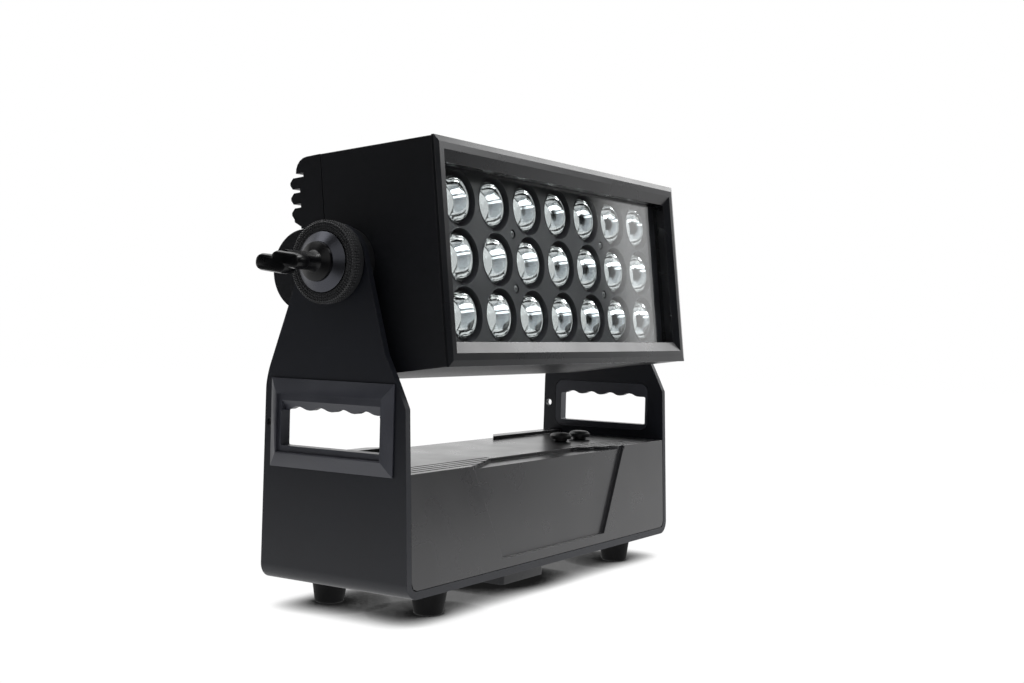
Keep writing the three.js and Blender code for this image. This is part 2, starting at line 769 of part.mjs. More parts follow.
// Round rubber foot with a screw well in its underside
function foot(x, y) {
  const top = footHeight - fit;
  const profile = [
    [0, footScrewDepth],
    [footScrewRadius, footScrewDepth],
    [footScrewRadius * 2, footScrewDepth],
    [footScrewRadius * 2, 0],
    [footLowRadius - footChamfer, 0],
    [footLowRadius, footChamfer],
    [footTopRadius, top - footFlangeHeight * 2],
    [footTopRadius + footFlange, top - footFlangeHeight],
    [footTopRadius + footFlange, top],
    [0, top],
  ];
  return turned(profile, "z", footSegments).translate(x, y, 0);
}

// Low mushroom cap on the top of the base
function ventCap(x) {
  const seat = coverTop + fit;
  const profile = [
    [0, seat],
    [capStemRadius, seat],
    [capStemRadius, seat + capSkirt],
    [capRadius, seat + capSkirt],
    [capRadius, seat + capHeight - capRound],
    [capRadius - capRound * 0.65, seat + capHeight - capRound * 0.3],
    [capRadius - capRound * 1.65, seat + capHeight],
    [0, seat + capHeight],
  ];
  return turned(profile, "z", roundSegments).translate(x, capY, 0);
}

// Block under the base for a hanging clamp
function lockBlock() {
  const top = footHeight - fit;
  const halfDepth = lockBlockDepth / 2;
  return sweepZ(roundedBox(lockBlockHalf, halfDepth, lockBlockCorner), top - lockBlockDrop, top);
}

// Head group: built level about its pivot, then tilted
const head = new THREE.Group();
head.position.set(0, pivotY, pivotZ);
head.rotation.x = -rad(headTilt);
assembly.add(head);

const bodyFrontY = headFrontY + bezelLip + fit;

function bodyHalfHeight(y) {
  const share = (y - headFrontY) / (seamY - headFrontY);
  return headHalfHeight + (headRearHalfHeight - headHalfHeight) * share;
}

function headBody() {
  const rear = seamY - fit;
  const outer = taperedY(bodyFrontY, rear, [headHalfWidth, bodyHalfHeight(bodyFrontY)], [headHalfWidth, bodyHalfHeight(rear)]);
  const halfX = headHalfWidth - headWall;
  const halfZ = headHalfHeight - headWall;
  const inner = box(-halfX, halfX, bodyFrontY - overrun, rear + overrun, -halfZ, halfZ);
  const boltHoles = rod(boltRadius + fit, -halfLength, halfLength, "x");
  return cut(outer, [inner, boltHoles]);
}

// Bezel: a bevelled lip over the body's front edge, and a frame inside the body that holds the glass and the mask
const bezelHalves = [headHalfWidth + bezelOverhang, headHalfHeight + bezelOverhang];

function frontBezel() {
  const faceHalves = bezelHalves.map((half) => half - bezelBevel);
  const frameHalves = [headHalfWidth - headWall - fit, headHalfHeight - headWall - fit];
  const bevelY = headFrontY + bezelBevelDepth;
  const back = headFrontY + bezelDepth;
  const bevel = taperedY(headFrontY, bevelY, faceHalves, bezelHalves);
  const lip = taperedY(bevelY, headFrontY + bezelLip, bezelHalves, bezelHalves);
  const frame = taperedY(bevelY, back, frameHalves, frameHalves);
  const lead = fit / mouthDepth; // share of the slope that the cutter adds in front of the face
  const mouth = taperedY(headFrontY - fit, headFrontY + mouthDepth,
    [bezelOpenHalfWidth + mouthSlope * lead, bezelOpenHalfHeight + mouthDrop * lead], [glassHalfWidth, glassHalfHeight]);
  const throat = box(-glassHalfWidth, glassHalfWidth, headFrontY, back + overrun, -glassHalfHeight, glassHalfHeight);
  const seatX = glassHalfWidth + glassSeat + fit;
  const seatZ = glassHalfHeight + glassSeat + fit;
  const seat = box(-seatX, seatX, headFrontY + glassSetback, back + overrun, -seatZ, seatZ);
  return cut(join([bevel, lip, frame]), [mouth, throat, seat]);
}

const glassFrontY = headFrontY + glassSetback + fit;

function frontGlass() {
  const halfX = glassHalfWidth + glassSeat;
  const halfZ = glassHalfHeight + glassSeat;
  return sweepY(roundedBox(halfX, halfZ, glassCorner), glassFrontY, glassFrontY + glassThickness);
}

// Mask: one dark plate with a round hole over each lens and four small screw holes
const lensSpots = [];
for (let row = 0; row < lensRows; row += 1)
  for (let column = 0; column < lensColumns; column += 1)
    lensSpots.push({
      name: `lens_r${row + 1}_c${column + 1}`,
      x: (column - (lensColumns - 1) / 2) * lensPitchX,
      z: ((lensRows - 1) / 2 - row) * lensPitchZ,
    });

function lensMask() {
  const halfX = glassHalfWidth + glassSeat;
  const halfZ = glassHalfHeight + glassSeat;
  const plate = box(-halfX, halfX, maskFrontY, maskFrontY + maskThickness, -halfZ, halfZ);
  const rear = maskFrontY + maskThickness + overrun;
  const holes = lensSpots.map(({ x, z }) => rod(maskHoleRadius, maskFrontY - overrun, rear, "y", lensSegments).translate(x, 0, z));
  const screws = [];
  for (const x of [-1.5, 1.5])
    for (const z of [-0.5, 0.5])
      screws.push(rod(maskScrewRadius, maskFrontY - overrun, rear, "y", pinSegments).translate(x * lensPitchX, 0, z * lensPitchZ));
  return cut(plate, [...holes, ...screws]);
}

// Lens: a flat-fronted collimator, domed slightly, with a rim and a tapered body
function lens(x, z) {
  const profile = [
    [0, lensFrontY],
    [lensRadius * 0.6, lensFrontY + lensDome * 0.3],
    [lensRadius, lensFrontY + lensDome],
    [lensRadius, lensFrontY + lensDome + lensRimHeight],
    [lensNeckRadius, lensFrontY + lensLength],
    [0, lensFrontY + lensLength],
  ];
  return turned(profile, "y", lensSegments).translate(x, 0, z);
}

const ledFrontY = lensFrontY + lensLength + fit;

function ledBoard() {
  const plate = box(-ledBoardHalfWidth, ledBoardHalfWidth, ledFrontY, ledFrontY + ledThickness, -ledBoardHalfHeight, ledBoardHalfHeight);
  const postFrom = maskFrontY + maskThickness + fit;
  const posts = [];
  for (const x of [-2.5, -1.5, 1.5, 2.5])
    for (const z of [-0.5, 0.5])
      posts.push(rod(ledPostRadius, postFrom, ledFrontY + ledThickness / 2, "y", pinSegments).translate(x * lensPitchX, 0, z * lensPitchZ));
  return join([plate, ...posts]);
}

// Rear heat sink: a base plate with horizontal ribs in two banks, the driver housing between them
function ribSide(sign) {
  const points = [];
  for (let i = 0; i <= ribRoundSteps; i += 1) {
    const angle = (i / ribRoundSteps) * (Math.PI / 2);
    points.push([
      ribTopRearY - ribTopRound * (1 - Math.sin(angle)),
      headRearHalfHeight - ribTopRound * (1 - Math.cos(angle)),
    ]);
  }
  let high = headRearHalfHeight - ribTopRound;
  for (let i = 1; i < ribCount; i += 1) {
    const slotRear = i === 1 ? ribTopRearY : ribRearY - ribShoulder;
    points.push([slotRear, high], [slotRear - ribSlotDepth, high]);
    const low = high - ribSlot;
    points.push([slotRear - ribSlotDepth, low], [ribRearY - ribEdge, low], [ribRearY, low - ribEdge]);
    high = low - ribPitch + ribSlot;
    points.push([ribRearY, high + ribEdge]);
  }
  const foot = ribRearY - ribShoulder;
  points.push([foot, high], [foot, ribLastZ + ribFoot], [sinkValleyY, ribLastZ]);
  return points.map(([y, z]) => [y, z * sign]);
}

function rearHeatSink() {
  const upper = ribSide(1);
  const lower = ribSide(-1).reverse();
  const profile = outline([[seamY, headRearHalfHeight], ...upper, ...lower, [seamY, -headRearHalfHeight]]);
  const block = sweepX(profile, -headHalfWidth, headHalfWidth);
  const hollowRear = ribTopRearY - ribSlotDepth - sinkWall;
  const hollowX = headHalfWidth - sinkWall;
  const hollowZ = headRearHalfHeight - sinkWall;
  const hollow = box(-hollowX, hollowX, seamY - overrun, hollowRear, -hollowZ, hollowZ);
  const halfX = ledBoardHalfWidth;
  const halfZ = ledBoardHalfHeight;
  const plateFrom = ledFrontY + ledThickness + fit;
  const plateRear = plateFrom + sinkPlateThickness;
  const plate = box(-halfX, halfX, plateFrom, plateRear, -halfZ, halfZ);
  const fins = [];
  const finPitch = (2 * (halfX - finInset)) / (finCount - 1);
  for (let i = 0; i < finCount; i += 1) {
    const x = -halfX + finInset + i * finPitch - finThickness / 2;
    fins.push(box(x, x + finThickness, plateRear - fit, hollowRear + fit, -halfZ, halfZ));
  }
  const bay = rod(driverRadius + fit, -halfLength, halfLength, "x", roundSegments).translate(0, driverCentreY, 0);
  const bayFront = box(-halfLength, halfLength, driverFrontY - fit, driverCentreY, -driverRadius - fit, driverRadius + fit);
  return cut(join([cut(block, [hollow]), plate, ...fins]), [bay, bayFront]);
}

// Driver housing: a round-backed case across the width
function driverOutline(inset) {
  const shape = new THREE.Shape();
  const radius = driverRadius - inset;
  const front = driverFrontY + inset;
  shape.moveTo(front, -radius);
  shape.lineTo(driverCentreY, -radius);
  shape.absarc(driverCentreY, 0, radius, -Math.PI / 2, Math.PI / 2, false);
  shape.lineTo(front, radius);
  return shape;
}

function driverHousing() {
  const half = headHalfWidth - driverEndInset;
  const outer = sweepX(driverOutline(0), -half, half, 20);
  const inner = sweepX(driverOutline(driverWall), -half + driverWall, half - driverWall, 16);
  const gland = rod(glandRadius, driverFrontY - overrun, driverFrontY + driverWall + overrun, "y");
  return cut(outer, [inner, gland]);
}

// Pivot hardware on one side, built on the +X side
function pivotBolt() {
  const inside = headHalfWidth - headWall - fit;
  const end = halfLength + wingReach - boltBite;
  const from = inside - boltHeadThickness;
  const nut = rod(boltHeadRadius, from, inside, "x", hexSides);
  return rod(boltRadius, from + boltHeadThickness / 2, end, "x").add(nut);
}

function frictionDisc() {
  const from = headHalfWidth + fit;
  const to = armInner - fit;
  return cut(rod(frictionRadius, from, to, "x", roundSegments), [rod(boltRadius + fit, from - overrun, to + overrun, "x")]);
}

// Clamp ring: a round washer with a softened rim and a well for the cone
function clampRing() {
  const from = halfLength + fit;
  const face = from + ringThickness;
  const plain = turned([
    [0, from],
    [ringRadius - ringEdge, from],
    [ringRadius, from + ringEdge],
    [ringRadius, face - ringEdge],
    [ringRadius - ringEdge, face],
    [0, face],
  ], "x", toothCount);
  const well = rod(ringBore, face - coneSkirt, face + overrun, "x", roundSegments);
  const hole = rod(boltRadius + fit, from - overrun, face + overrun, "x");
  return cut(plain, [well, hole]);
}

function coneWasher() {
  const face = halfLength + fit + ringThickness;
  const seat = face - coneSkirt + fit;
  const low = face + coneProud;
  const top = low + coneRise;
  const profile = [
    [0, seat],
    [coneLowRadius, seat],
    [coneLowRadius, low],
    [coneTopRadius, top],
    [0, top],
  ];
  const hole = rod(boltRadius + fit, seat - overrun, top + overrun, "x");
  return cut(turned(profile, "x", roundSegments), [hole]);
}

// One wing of the bar: a rounded block from near the axis to its end
function wing(end, height, sign) {
  const near = -wingOverlap * sign;
  const far = end * sign;
  const centre = (near + far) / 2;
  const halfSpan = Math.abs(far - near) / 2 - wingBevel;
  const halfHeight = height / 2 - wingBevel;
  const shape = roundedBox(halfSpan, halfHeight, halfHeight * 0.9, centre);
  const geometry = new THREE.ExtrudeGeometry(shape, {
    depth: wingThickness - wingBevel * 2,
    bevelThickness: wingBevel,
    bevelSize: wingBevel,
    bevelSegments: 2,
    curveSegments: 4,
  });
  geometry.rotateX(Math.PI / 2);
  geometry.rotateZ(Math.PI / 2);
  return solid(geometry.translate(halfLength + wingReach + wingBevel, 0, 0));
}

function clampKnob() {
  const seat = halfLength + fit + ringThickness + coneProud + coneRise + fit;
  const hubFace = seat + hubThickness;
  const reach = halfLength + wingReach + wingThickness / 2;
  const hub = turned([
    [0, seat],
    [hubRadius, seat],
    [hubRadius, hubFace - hubEdge / 2],
    [hubRadius - hubEdge, hubFace],
    [stemRadius + stemFlare, hubFace + stemFlare],
    [stemRadius, hubFace + stemFlare * 3],
    [stemRadius, reach],
    [0, reach],
  ], "x", roundSegments);
  const turn = [wingTurn, 0, 0];
  const front = wing(wingEndFront, wingHeightFront, -1).rotate(turn);
  const rear = wing(wingEndRear, wingHeightRear, 1).rotate(turn).translate(0, 0, -wingDropRear);
  const bore = rod(boltRadius + fit, seat - overrun, halfLength + wingReach - boltBite + fit, "x");
  return cut(join([hub, front, rear]), [bore]);
}

// Base pieces
place("yoke_frame", yokeFrame(), powderCoat);
place("base_cover", baseCover(), satinPaint);
place("rear_panel", rearPanel(), satinPaint);
place("display_window", displayWindow(), screenGlass);
buttonX.forEach((x, i) => place(`button_${i + 1}`, pushButton(x), blackRubber));
place("power_inlet", powerInlet(), blackPlastic);
place("data_input", dataSocket(dataInX), steel);
place("data_output", dataSocket(dataOutX), steel);
place("power_supply", powerSupply(), steel);
place("control_board", controlBoard(), circuitBoard);
place("lock_block", lockBlock(), powderCoat);
place("vent_cap_inner", ventCap(capX[0]), blackPlastic);
place("vent_cap_outer", ventCap(capX[1]), blackPlastic);
for (const [side, sign] of [["left", -1], ["right", 1]]) {
  place(`foot_front_${side}`, foot(footFrontX * sign, footFrontY), blackRubber);
  place(`foot_rear_${side}`, foot(footRearX * sign, footRearY), blackRubber);
}

// Pieces that come in a left and right pair
function placePair(name, shape, finish, group = assembly) {
  place(`${name}_right`, shape, finish, group);
  place(`${name}_left`, mirrorX(shape), finish, group);
}

const onAxis = (shape) => shape.translate(0, pivotY, pivotZ);
placePair("handle_insert", handleInsert(), greyPlastic);
placePair("friction_disc", onAxis(frictionDisc()), blackPlastic);
placePair("clamp_ring", onAxis(clampRing()), blackRubber);
placePair("cone_washer", onAxis(coneWasher()), satinMetal);
placePair("clamp_knob", onAxis(clampKnob()), glossPlastic);
placePair("pivot_bolt", pivotBolt(), steel, head);

// Head pieces
place("head_body", headBody(), powderCoat, head);
place("front_bezel", frontBezel(), satinPaint, head);
place("front_glass", frontGlass(), clearGlass, head);
place("lens_mask", lensMask(), blackPlastic, head);
for (const { name, x, z } of lensSpots) place(name, lens(x, z), clearLens, head);
place("led_board", ledBoard(), whiteBoard, head);
place("rear_heat_sink", rearHeatSink(), powderCoat, head);
place("driver_housing", driverHousing(), powderCoat, head);

// The origin lies under the middle of the bounding box: the front is the low edge of the tilted bezel,
// the rear the round back of the driver housing
const nose = headFrontY * Math.cos(rad(headTilt)) - (bezelHalves[1] - bezelBevel) * Math.sin(rad(headTilt));
const noseLow = (headFrontY + bezelBevelDepth) * Math.cos(rad(headTilt)) - bezelHalves[1] * Math.sin(rad(headTilt));
const frontMost = pivotY + Math.min(nose, noseLow);
const rearMost = pivotY + driverCentreY * Math.cos(rad(headTilt)) + driverRadius;
assembly.position.y = -(frontMost + rearMost) / 2;
assembly.updateMatrixWorld(true);

export default assembly;
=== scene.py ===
import math

import bmesh
import bpy
from mathutils import Matrix, Vector


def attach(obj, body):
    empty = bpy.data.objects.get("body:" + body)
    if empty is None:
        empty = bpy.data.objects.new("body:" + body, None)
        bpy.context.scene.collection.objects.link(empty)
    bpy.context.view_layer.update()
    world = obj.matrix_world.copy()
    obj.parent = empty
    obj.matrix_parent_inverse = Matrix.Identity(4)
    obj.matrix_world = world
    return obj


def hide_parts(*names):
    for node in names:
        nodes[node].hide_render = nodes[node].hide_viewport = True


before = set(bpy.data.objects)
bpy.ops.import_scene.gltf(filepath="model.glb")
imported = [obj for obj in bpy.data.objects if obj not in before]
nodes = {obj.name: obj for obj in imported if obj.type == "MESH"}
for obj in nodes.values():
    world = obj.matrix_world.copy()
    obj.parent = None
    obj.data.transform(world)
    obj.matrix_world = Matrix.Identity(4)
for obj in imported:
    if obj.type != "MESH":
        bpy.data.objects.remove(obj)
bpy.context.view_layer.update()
scene = bpy.context.scene
scene.view_settings.view_transform = "Standard"
print("frame loaded:", len(nodes), "solids")

mm = 0.001
pivot = Vector((0, 11.36, 250.7)) * mm  # on the head's hinge, midway between the arms
headTilt = math.radians(6.4)  # nose up
headPlace = Matrix.Translation(pivot) @ Matrix.Rotation(-headTilt, 4, "X")
lensNames = [f"lens_r{row}_c{column}" for row in range(1, 4) for column in range(1, 8)]


# Small helpers
def toLinear(hexColour):
    channels = [int(hexColour[i : i + 2], 16) / 255 for i in (1, 3, 5)]
    linear = [c / 12.92 if c <= 0.04045 else ((c + 0.055) / 1.055) ** 2.4 for c in channels]
    return (*linear, 1)


def addNode(tree, kind, values=None, **settings):
    node = tree.nodes.new(kind)
    for name, value in settings.items():
        setattr(node, name, value)
    for socket, value in (values or {}).items():
        if isinstance(value, bpy.types.NodeSocket):
            tree.links.new(value, node.inputs[socket])
        else:
            node.inputs[socket].default_value = value
    return node


def mathOf(tree, operation, a, b):
    return addNode(tree, "ShaderNodeMath", {0: a, 1: b}, operation=operation).outputs[0]


def vectorOf(tree, operation, a, b):
    return addNode(tree, "ShaderNodeVectorMath", {0: a, 1: b}, operation=operation).outputs[0]


def mixOf(tree, share, a, b):
    return addNode(tree, "ShaderNodeMix", {0: share, 2: a, 3: b}).outputs[0]


def tintOf(tree, share, dark, light):
    values = {0: share, 6: toLinear(dark), 7: toLinear(light)}
    return addNode(tree, "ShaderNodeMix", values, data_type="RGBA").outputs[2]


# Stretches a value from one span to another
def rangeOf(tree, value, before, after=(0, 1), kind="LINEAR"):
    values = {0: value, 1: before[0], 2: before[1], 3: after[0], 4: after[1]}
    return addNode(tree, "ShaderNodeMapRange", values, interpolation_type=kind).outputs[0]


# Noise with grains of so many millimetres
def noiseOf(tree, place, grain, detail):
    values = {"Vector": place, "Scale": 1 / (grain * mm), "Detail": detail}
    return addNode(tree, "ShaderNodeTexNoise", values).outputs["Fac"]


def bumpOf(tree, strength, depth, height):
    values = {"Strength": strength, "Distance": depth * mm, "Height": height}
    return addNode(tree, "ShaderNodeBump", values).outputs[0]


def startMaterial(name, **settings):
    material = bpy.data.materials.new(name)
    material.use_nodes = True
    tree = material.node_tree
    shader = tree.nodes["Principled BSDF"]
    for socket, value in settings.items():
        shader.inputs[socket.replace("_", " ")].default_value = value
    place = addNode(tree, "ShaderNodeTexCoord").outputs["Object"]
    return material, tree, shader, place


def paint(tree, shader, colour, rough, bump=None):
    tree.links.new(colour, shader.inputs["Base Color"])
    tree.links.new(rough, shader.inputs["Roughness"])
    if bump:
        tree.links.new(bump, shader.inputs["Normal"])


def blendShaders(tree, share, first, second):
    mixed = addNode(tree, "ShaderNodeMixShader", {0: share, 1: first.outputs[0], 2: second.outputs[0]})
    tree.links.new(mixed.outputs[0], tree.nodes["Material Output"].inputs["Surface"])


def dress(material, *names):
    for name in names:
        nodes[name].data.materials.clear()
        nodes[name].data.materials.append(material)


def pairOf(name):
    return [name + "_left", name + "_right"]


def keepMesh(name, mesh):
    item = bpy.data.objects.new(name, mesh)
    scene.collection.objects.link(item)
    return item


# Camera, as solved from the photograph
camera = {
    "place": (-0.9188, -0.5962, 0.2119),
    "lens": 46.58,
    "sensor": 36,
    "nearest": 0.01,
    "yaw": 57.548,
    "pitch": -0.821,
    "roll": 1.4735,
}


def makeCamera(sizes):
    yaw, pitch, roll = (math.radians(sizes[turn]) for turn in ("yaw", "pitch", "roll"))
    flat = math.cos(pitch)
    ahead = Vector((math.sin(yaw) * flat, math.cos(yaw) * flat, math.sin(pitch)))
    level = Vector((math.cos(yaw), -math.sin(yaw), 0))
    above = level.cross(ahead)
    right = math.cos(roll) * level + math.sin(roll) * above
    up = -math.sin(roll) * level + math.cos(roll) * above
    data = bpy.data.cameras.new("camera")
    data.lens = sizes["lens"]
    data.sensor_width = sizes["sensor"]
    data.clip_start = sizes["nearest"]
    item = bpy.data.objects.new("camera", data)
    item.matrix_world = Matrix((
        (right.x, up.x, -ahead.x, sizes["place"][0]),
        (right.y, up.y, -ahead.y, sizes["place"][1]),
        (right.z, up.z, -ahead.z, sizes["place"][2]),
        (0, 0, 0, 1),
    ))
    scene.collection.objects.link(item)
    scene.camera = item


makeCamera(camera)
print("camera set")

# Studio: white sweep behind and to the right, dim room to the left and in front, reflecting cards
# and three soft boxes. Directions round the object are in degrees from +X, distances in metres
studio = {
    "roomLevel": 0.02,  # what shiny faces mirror from the dim side
    "windowLevel": 0.8,  # the same, for rays that come from inside the lenses
    "throughDepth": 4.5,  # such rays have passed more clear faces than this
    "softLevel": 0.27,  # even light from all round
    "sweepMiddle": 39,
    "sweepHalf": 66.0,
    "sweepBlur": 0.014,
    "sweepLevel": 1.3,
    "cards": [  # middle and half width, lowest and highest elevation, brightness
        (205, 32, 5, 45, 0.9),
        (100, 45, 40, 75, 3.0),
    ],
    "cardBlur": 0.03,
    "floorRadius": 4.0,
    "floorSides": 96,
    "floorMottle": 333,
    "floorRough": 0.8,
    "floorSheen": 0.1,
    "floorMiddle": 45,  # the part of the floor that shiny faces mirror as white
    "floorHalf": 81,
    "floorBlur": 0.03,
    "floorDim": 0.06,
    "floorLevel": 1.2,
    "tableReach": (0.55, 0.85),  # round the object the floor is white for every side, out to here
    "contactReach": 0.037,  # the soft shadow close to the feet
    "contactOpen": (0.25, 0.7),
    "contactShade": (0.01, 1.02),
    "contactSamples": 32,
    "lamps": [  # place, height it is aimed at, width, height, watts
        ("top box", (0.2, 0.3, 1.8), 0.2, 1.2, 1.0, 7),
        ("front box", (1.16, -0.75, 0.98), 0.25, 1.3, 0.42, 9),
        ("overhead front box", (0.27, -0.75, 1.64), 0.25, 1.2, 0.5, 22),
    ],
}


# One level within so many degrees either side of a direction round the object, another beyond
def arcOf(tree, direction, middle, half, blur, levels=(0, 1)):
    unit = vectorOf(tree, "NORMALIZE", vectorOf(tree, "MULTIPLY", direction, (1, 1, 0)), (0, 0, 0))
    aim = (math.cos(math.radians(middle)), math.sin(math.radians(middle)), 0)
    facing = addNode(tree, "ShaderNodeVectorMath", {0: unit, 1: aim}, operation="DOT_PRODUCT")
    edge = math.cos(math.radians(half))
    return rangeOf(tree, facing.outputs["Value"], (edge - blur, edge + blur), levels, "SMOOTHSTEP")


# 1 between two elevations, 0 above and below them
def bandOf(tree, height, lowest, highest, blur):
    low, high = math.sin(math.radians(lowest)), math.sin(math.radians(highest))
    rise = rangeOf(tree, height, (low - blur, low + blur), (0, 1), "SMOOTHSTEP")
    fall = rangeOf(tree, height, (high - blur, high + blur), (1, 0), "SMOOTHSTEP")
    return mathOf(tree, "MULTIPLY", rise, fall)


def makeWorld(sizes):
    world = bpy.data.worlds.new("studio")
    scene.world = world
    world.use_nodes = True
    tree = world.node_tree
    tree.nodes.clear()
    towards = addNode(tree, "ShaderNodeTexCoord").outputs["Generated"]
    height = addNode(tree, "ShaderNodeSeparateXYZ", {0: towards}).outputs["Z"]
    path = addNode(tree, "ShaderNodeLightPath").outputs
    inside = mathOf(tree, "GREATER_THAN", path["Transmission Depth"], sizes["throughDepth"])
    room = mixOf(tree, inside, sizes["roomLevel"], sizes["windowLevel"])
    sweep = (sizes["sweepMiddle"], sizes["sweepHalf"], sizes["sweepBlur"])
    level = arcOf(tree, towards, *sweep, (room, sizes["sweepLevel"]))
    for middle, half, lowest, highest, bright in sizes["cards"]:
        across = arcOf(tree, towards, middle, half, sizes["cardBlur"])
        card = mathOf(tree, "MULTIPLY", across, bandOf(tree, height, lowest, highest, sizes["cardBlur"]))
        level = mathOf(tree, "MAXIMUM", level, mathOf(tree, "MULTIPLY", card, bright))
    shiny = mathOf(tree, "MAXIMUM", path["Is Glossy Ray"], path["Is Transmission Ray"])
    direct = mathOf(tree, "LESS_THAN", path["Diffuse Depth"], 0.5)  # no matt face on the way
    around = mixOf(tree, mathOf(tree, "MULTIPLY", shiny, direct), sizes["softLevel"], level)
    seen = mixOf(tree, path["Is Camera Ray"], around, 1.0)
    background = addNode(tree, "ShaderNodeBackground", {"Color": (1, 1, 1, 1), "Strength": seen})
    addNode(tree, "ShaderNodeOutputWorld", {"Surface": background.outputs[0]})


# Pale floor: the camera sees plain white with a soft shadow close round whatever stands on it
def makeFloor(sizes):
    mesh = bpy.data.meshes.new("floor")
    shape = bmesh.new()
    bmesh.ops.create_circle(
        shape, cap_ends=True, radius=sizes["floorRadius"], segments=sizes["floorSides"]
    )
    shape.to_mesh(mesh)
    shape.free()
    floor = keepMesh("floor", mesh)
    material, tree, shader, place = startMaterial(
        "pale studio floor", Roughness=sizes["floorRough"], Specular_IOR_Level=sizes["floorSheen"]
    )
    mottle = noiseOf(tree, place, sizes["floorMottle"], 2.0)
    tree.links.new(tintOf(tree, mottle, "#fafafa", "#ffffff"), shader.inputs["Base Color"])
    values, samples = {"Distance": sizes["contactReach"]}, sizes["contactSamples"]
    contact = addNode(tree, "ShaderNodeAmbientOcclusion", values, samples=samples).outputs["AO"]
    shown = rangeOf(tree, contact, sizes["contactOpen"], sizes["contactShade"])
    path = addNode(tree, "ShaderNodeLightPath").outputs
    inside = mathOf(tree, "GREATER_THAN", path["Transmission Depth"], sizes["throughDepth"])
    dim = mixOf(tree, inside, sizes["floorDim"], 1.0)
    bright = arcOf(
        tree, place, sizes["floorMiddle"], sizes["floorHalf"], sizes["floorBlur"], (dim, sizes["floorLevel"])
    )
    away = addNode(tree, "ShaderNodeVectorMath", {0: place}, operation="LENGTH").outputs["Value"]
    table = rangeOf(tree, away, sizes["tableReach"], (sizes["floorLevel"], 0))
    around = mathOf(tree, "MAXIMUM", bright, table)
    strength = mixOf(tree, path["Is Camera Ray"], around, shown)
    glow = addNode(tree, "ShaderNodeEmission", {"Color": (1, 1, 1, 1), "Strength": strength})
    shiny = mathOf(tree, "MAXIMUM", path["Is Glossy Ray"], path["Is Transmission Ray"])
    blendShaders(tree, mathOf(tree, "MAXIMUM", path["Is Camera Ray"], shiny), shader, glow)
    mesh.materials.append(material)


def makeLamp(name, place, aimHeight, width, height, power):
    data = bpy.data.lights.new(name, "AREA")
    data.shape = "RECTANGLE"
    data.size, data.size_y, data.energy = width, height, power
    lamp = bpy.data.objects.new(name, data)
    lamp.location = place
    aim = Vector((0, 0, aimHeight)) - Vector(place)
    lamp.rotation_euler = aim.to_track_quat("-Z", "Y").to_euler()
    scene.collection.objects.link(lamp)


makeWorld(studio)
makeFloor(studio)
for lamp in studio["lamps"]:
    makeLamp(*lamp)
print("studio set")

# Finishes. Grain, depth and drift are in millimetres. Noise lies mostly within these two spans
wideSpan = (0.3, 0.7)
narrowSpan = (0.35, 0.65)


# Fine-textured powder coat: baked resin over aluminium. Small even pimples scatter the light
def powderCoat(name, dark, light, grain=0.8, depth=0.12, drift=60, rough=(0.4, 0.54), sheen=0.38):
    material, tree, shader, place = startMaterial(name, IOR=1.5, Specular_IOR_Level=sheen)
    pimples = noiseOf(tree, place, grain, 2.0)
    both = mixOf(tree, 0.35, pimples, noiseOf(tree, place, drift, 3.0))
    colour = tintOf(tree, rangeOf(tree, both, narrowSpan), dark, light)
    bump = bumpOf(tree, 0.5, depth, pimples)
    paint(tree, shader, colour, rangeOf(tree, pimples, wideSpan, rough), bump)
    return material


# Satin enamel: stoving paint with a slight orange peel, so broad soft highlights stay readable
def satinEnamel(name, dark, light, grain=1.4, depth=0.02, drift=45, rough=(0.25, 0.33), sheen=0.5):
    material, tree, shader, place = startMaterial(name, IOR=1.5, Specular_IOR_Level=sheen)
    drifting = noiseOf(tree, place, drift, 4.0)
    colour = tintOf(tree, drifting, dark, light)
    bump = bumpOf(tree, 0.12, depth, noiseOf(tree, place, grain, 1.0))
    paint(tree, shader, colour, rangeOf(tree, drifting, wideSpan, rough), bump)
    return material


# Moulded plastics and rubber: spark-eroded mould grain in the tool leaves small round pits
def mouldedPlastic(name, dark, light, grain, rough, ior=1.5, depth=0.05, sheen=0.5, drift=18):
    material, tree, shader, place = startMaterial(name, IOR=ior, Specular_IOR_Level=sheen)
    values = {"Vector": place, "Scale": 1 / (grain * mm)}
    pits = addNode(tree, "ShaderNodeTexVoronoi", values, feature="SMOOTH_F1").outputs["Distance"]
    haze = noiseOf(tree, place, drift, 4.0)
    colour = tintOf(tree, haze, dark, light)
    paint(tree, shader, colour, rangeOf(tree, haze, wideSpan, rough), bumpOf(tree, 0.4, depth, pits))
    return material


# Turned aluminium: lathe lines run round the hinge, 0.1 mm apart in the real part, and drawn at
# 0.5 mm so that they show. At scale 1 the wave repeats every 0.31
def turnedAluminium(name, dark, light, rough, lineGap=0.5, waveLength=0.31, depth=0.008):
    material, tree, shader, place = startMaterial(name, Metallic=1.0)
    centred = addNode(tree, "ShaderNodeMapping", {"Vector": place, "Location": -pivot}).outputs[0]
    scale = waveLength / (lineGap * mm)
    values = {"Vector": centred, "Scale": scale, "Distortion": 1.5, "Detail": 2.0, "Detail Scale": 2.0}
    wave = addNode(tree, "ShaderNodeTexWave", values, wave_type="RINGS", rings_direction="X")
    lines = wave.outputs["Fac"]
    colour = tintOf(tree, lines, dark, light)
    paint(tree, shader, colour, rangeOf(tree, lines, (0, 1), rough), bumpOf(tree, 0.1, depth, lines))
    return material


# Sheet, plated steel and metallised plastic: a faint grain drawn out along X
def platedMetal(name, dark, light, rough, grain=0.7, stretch=0.06):
    material, tree, shader, place = startMaterial(name, Metallic=1.0)
    values = {"Vector": place, "Scale": (stretch, 1, 1)}
    drawn = noiseOf(tree, addNode(tree, "ShaderNodeMapping", values).outputs[0], grain, 3.0)
    paint(tree, shader, tintOf(tree, drawn, dark, light), rangeOf(tree, drawn, wideSpan, rough))
    return material


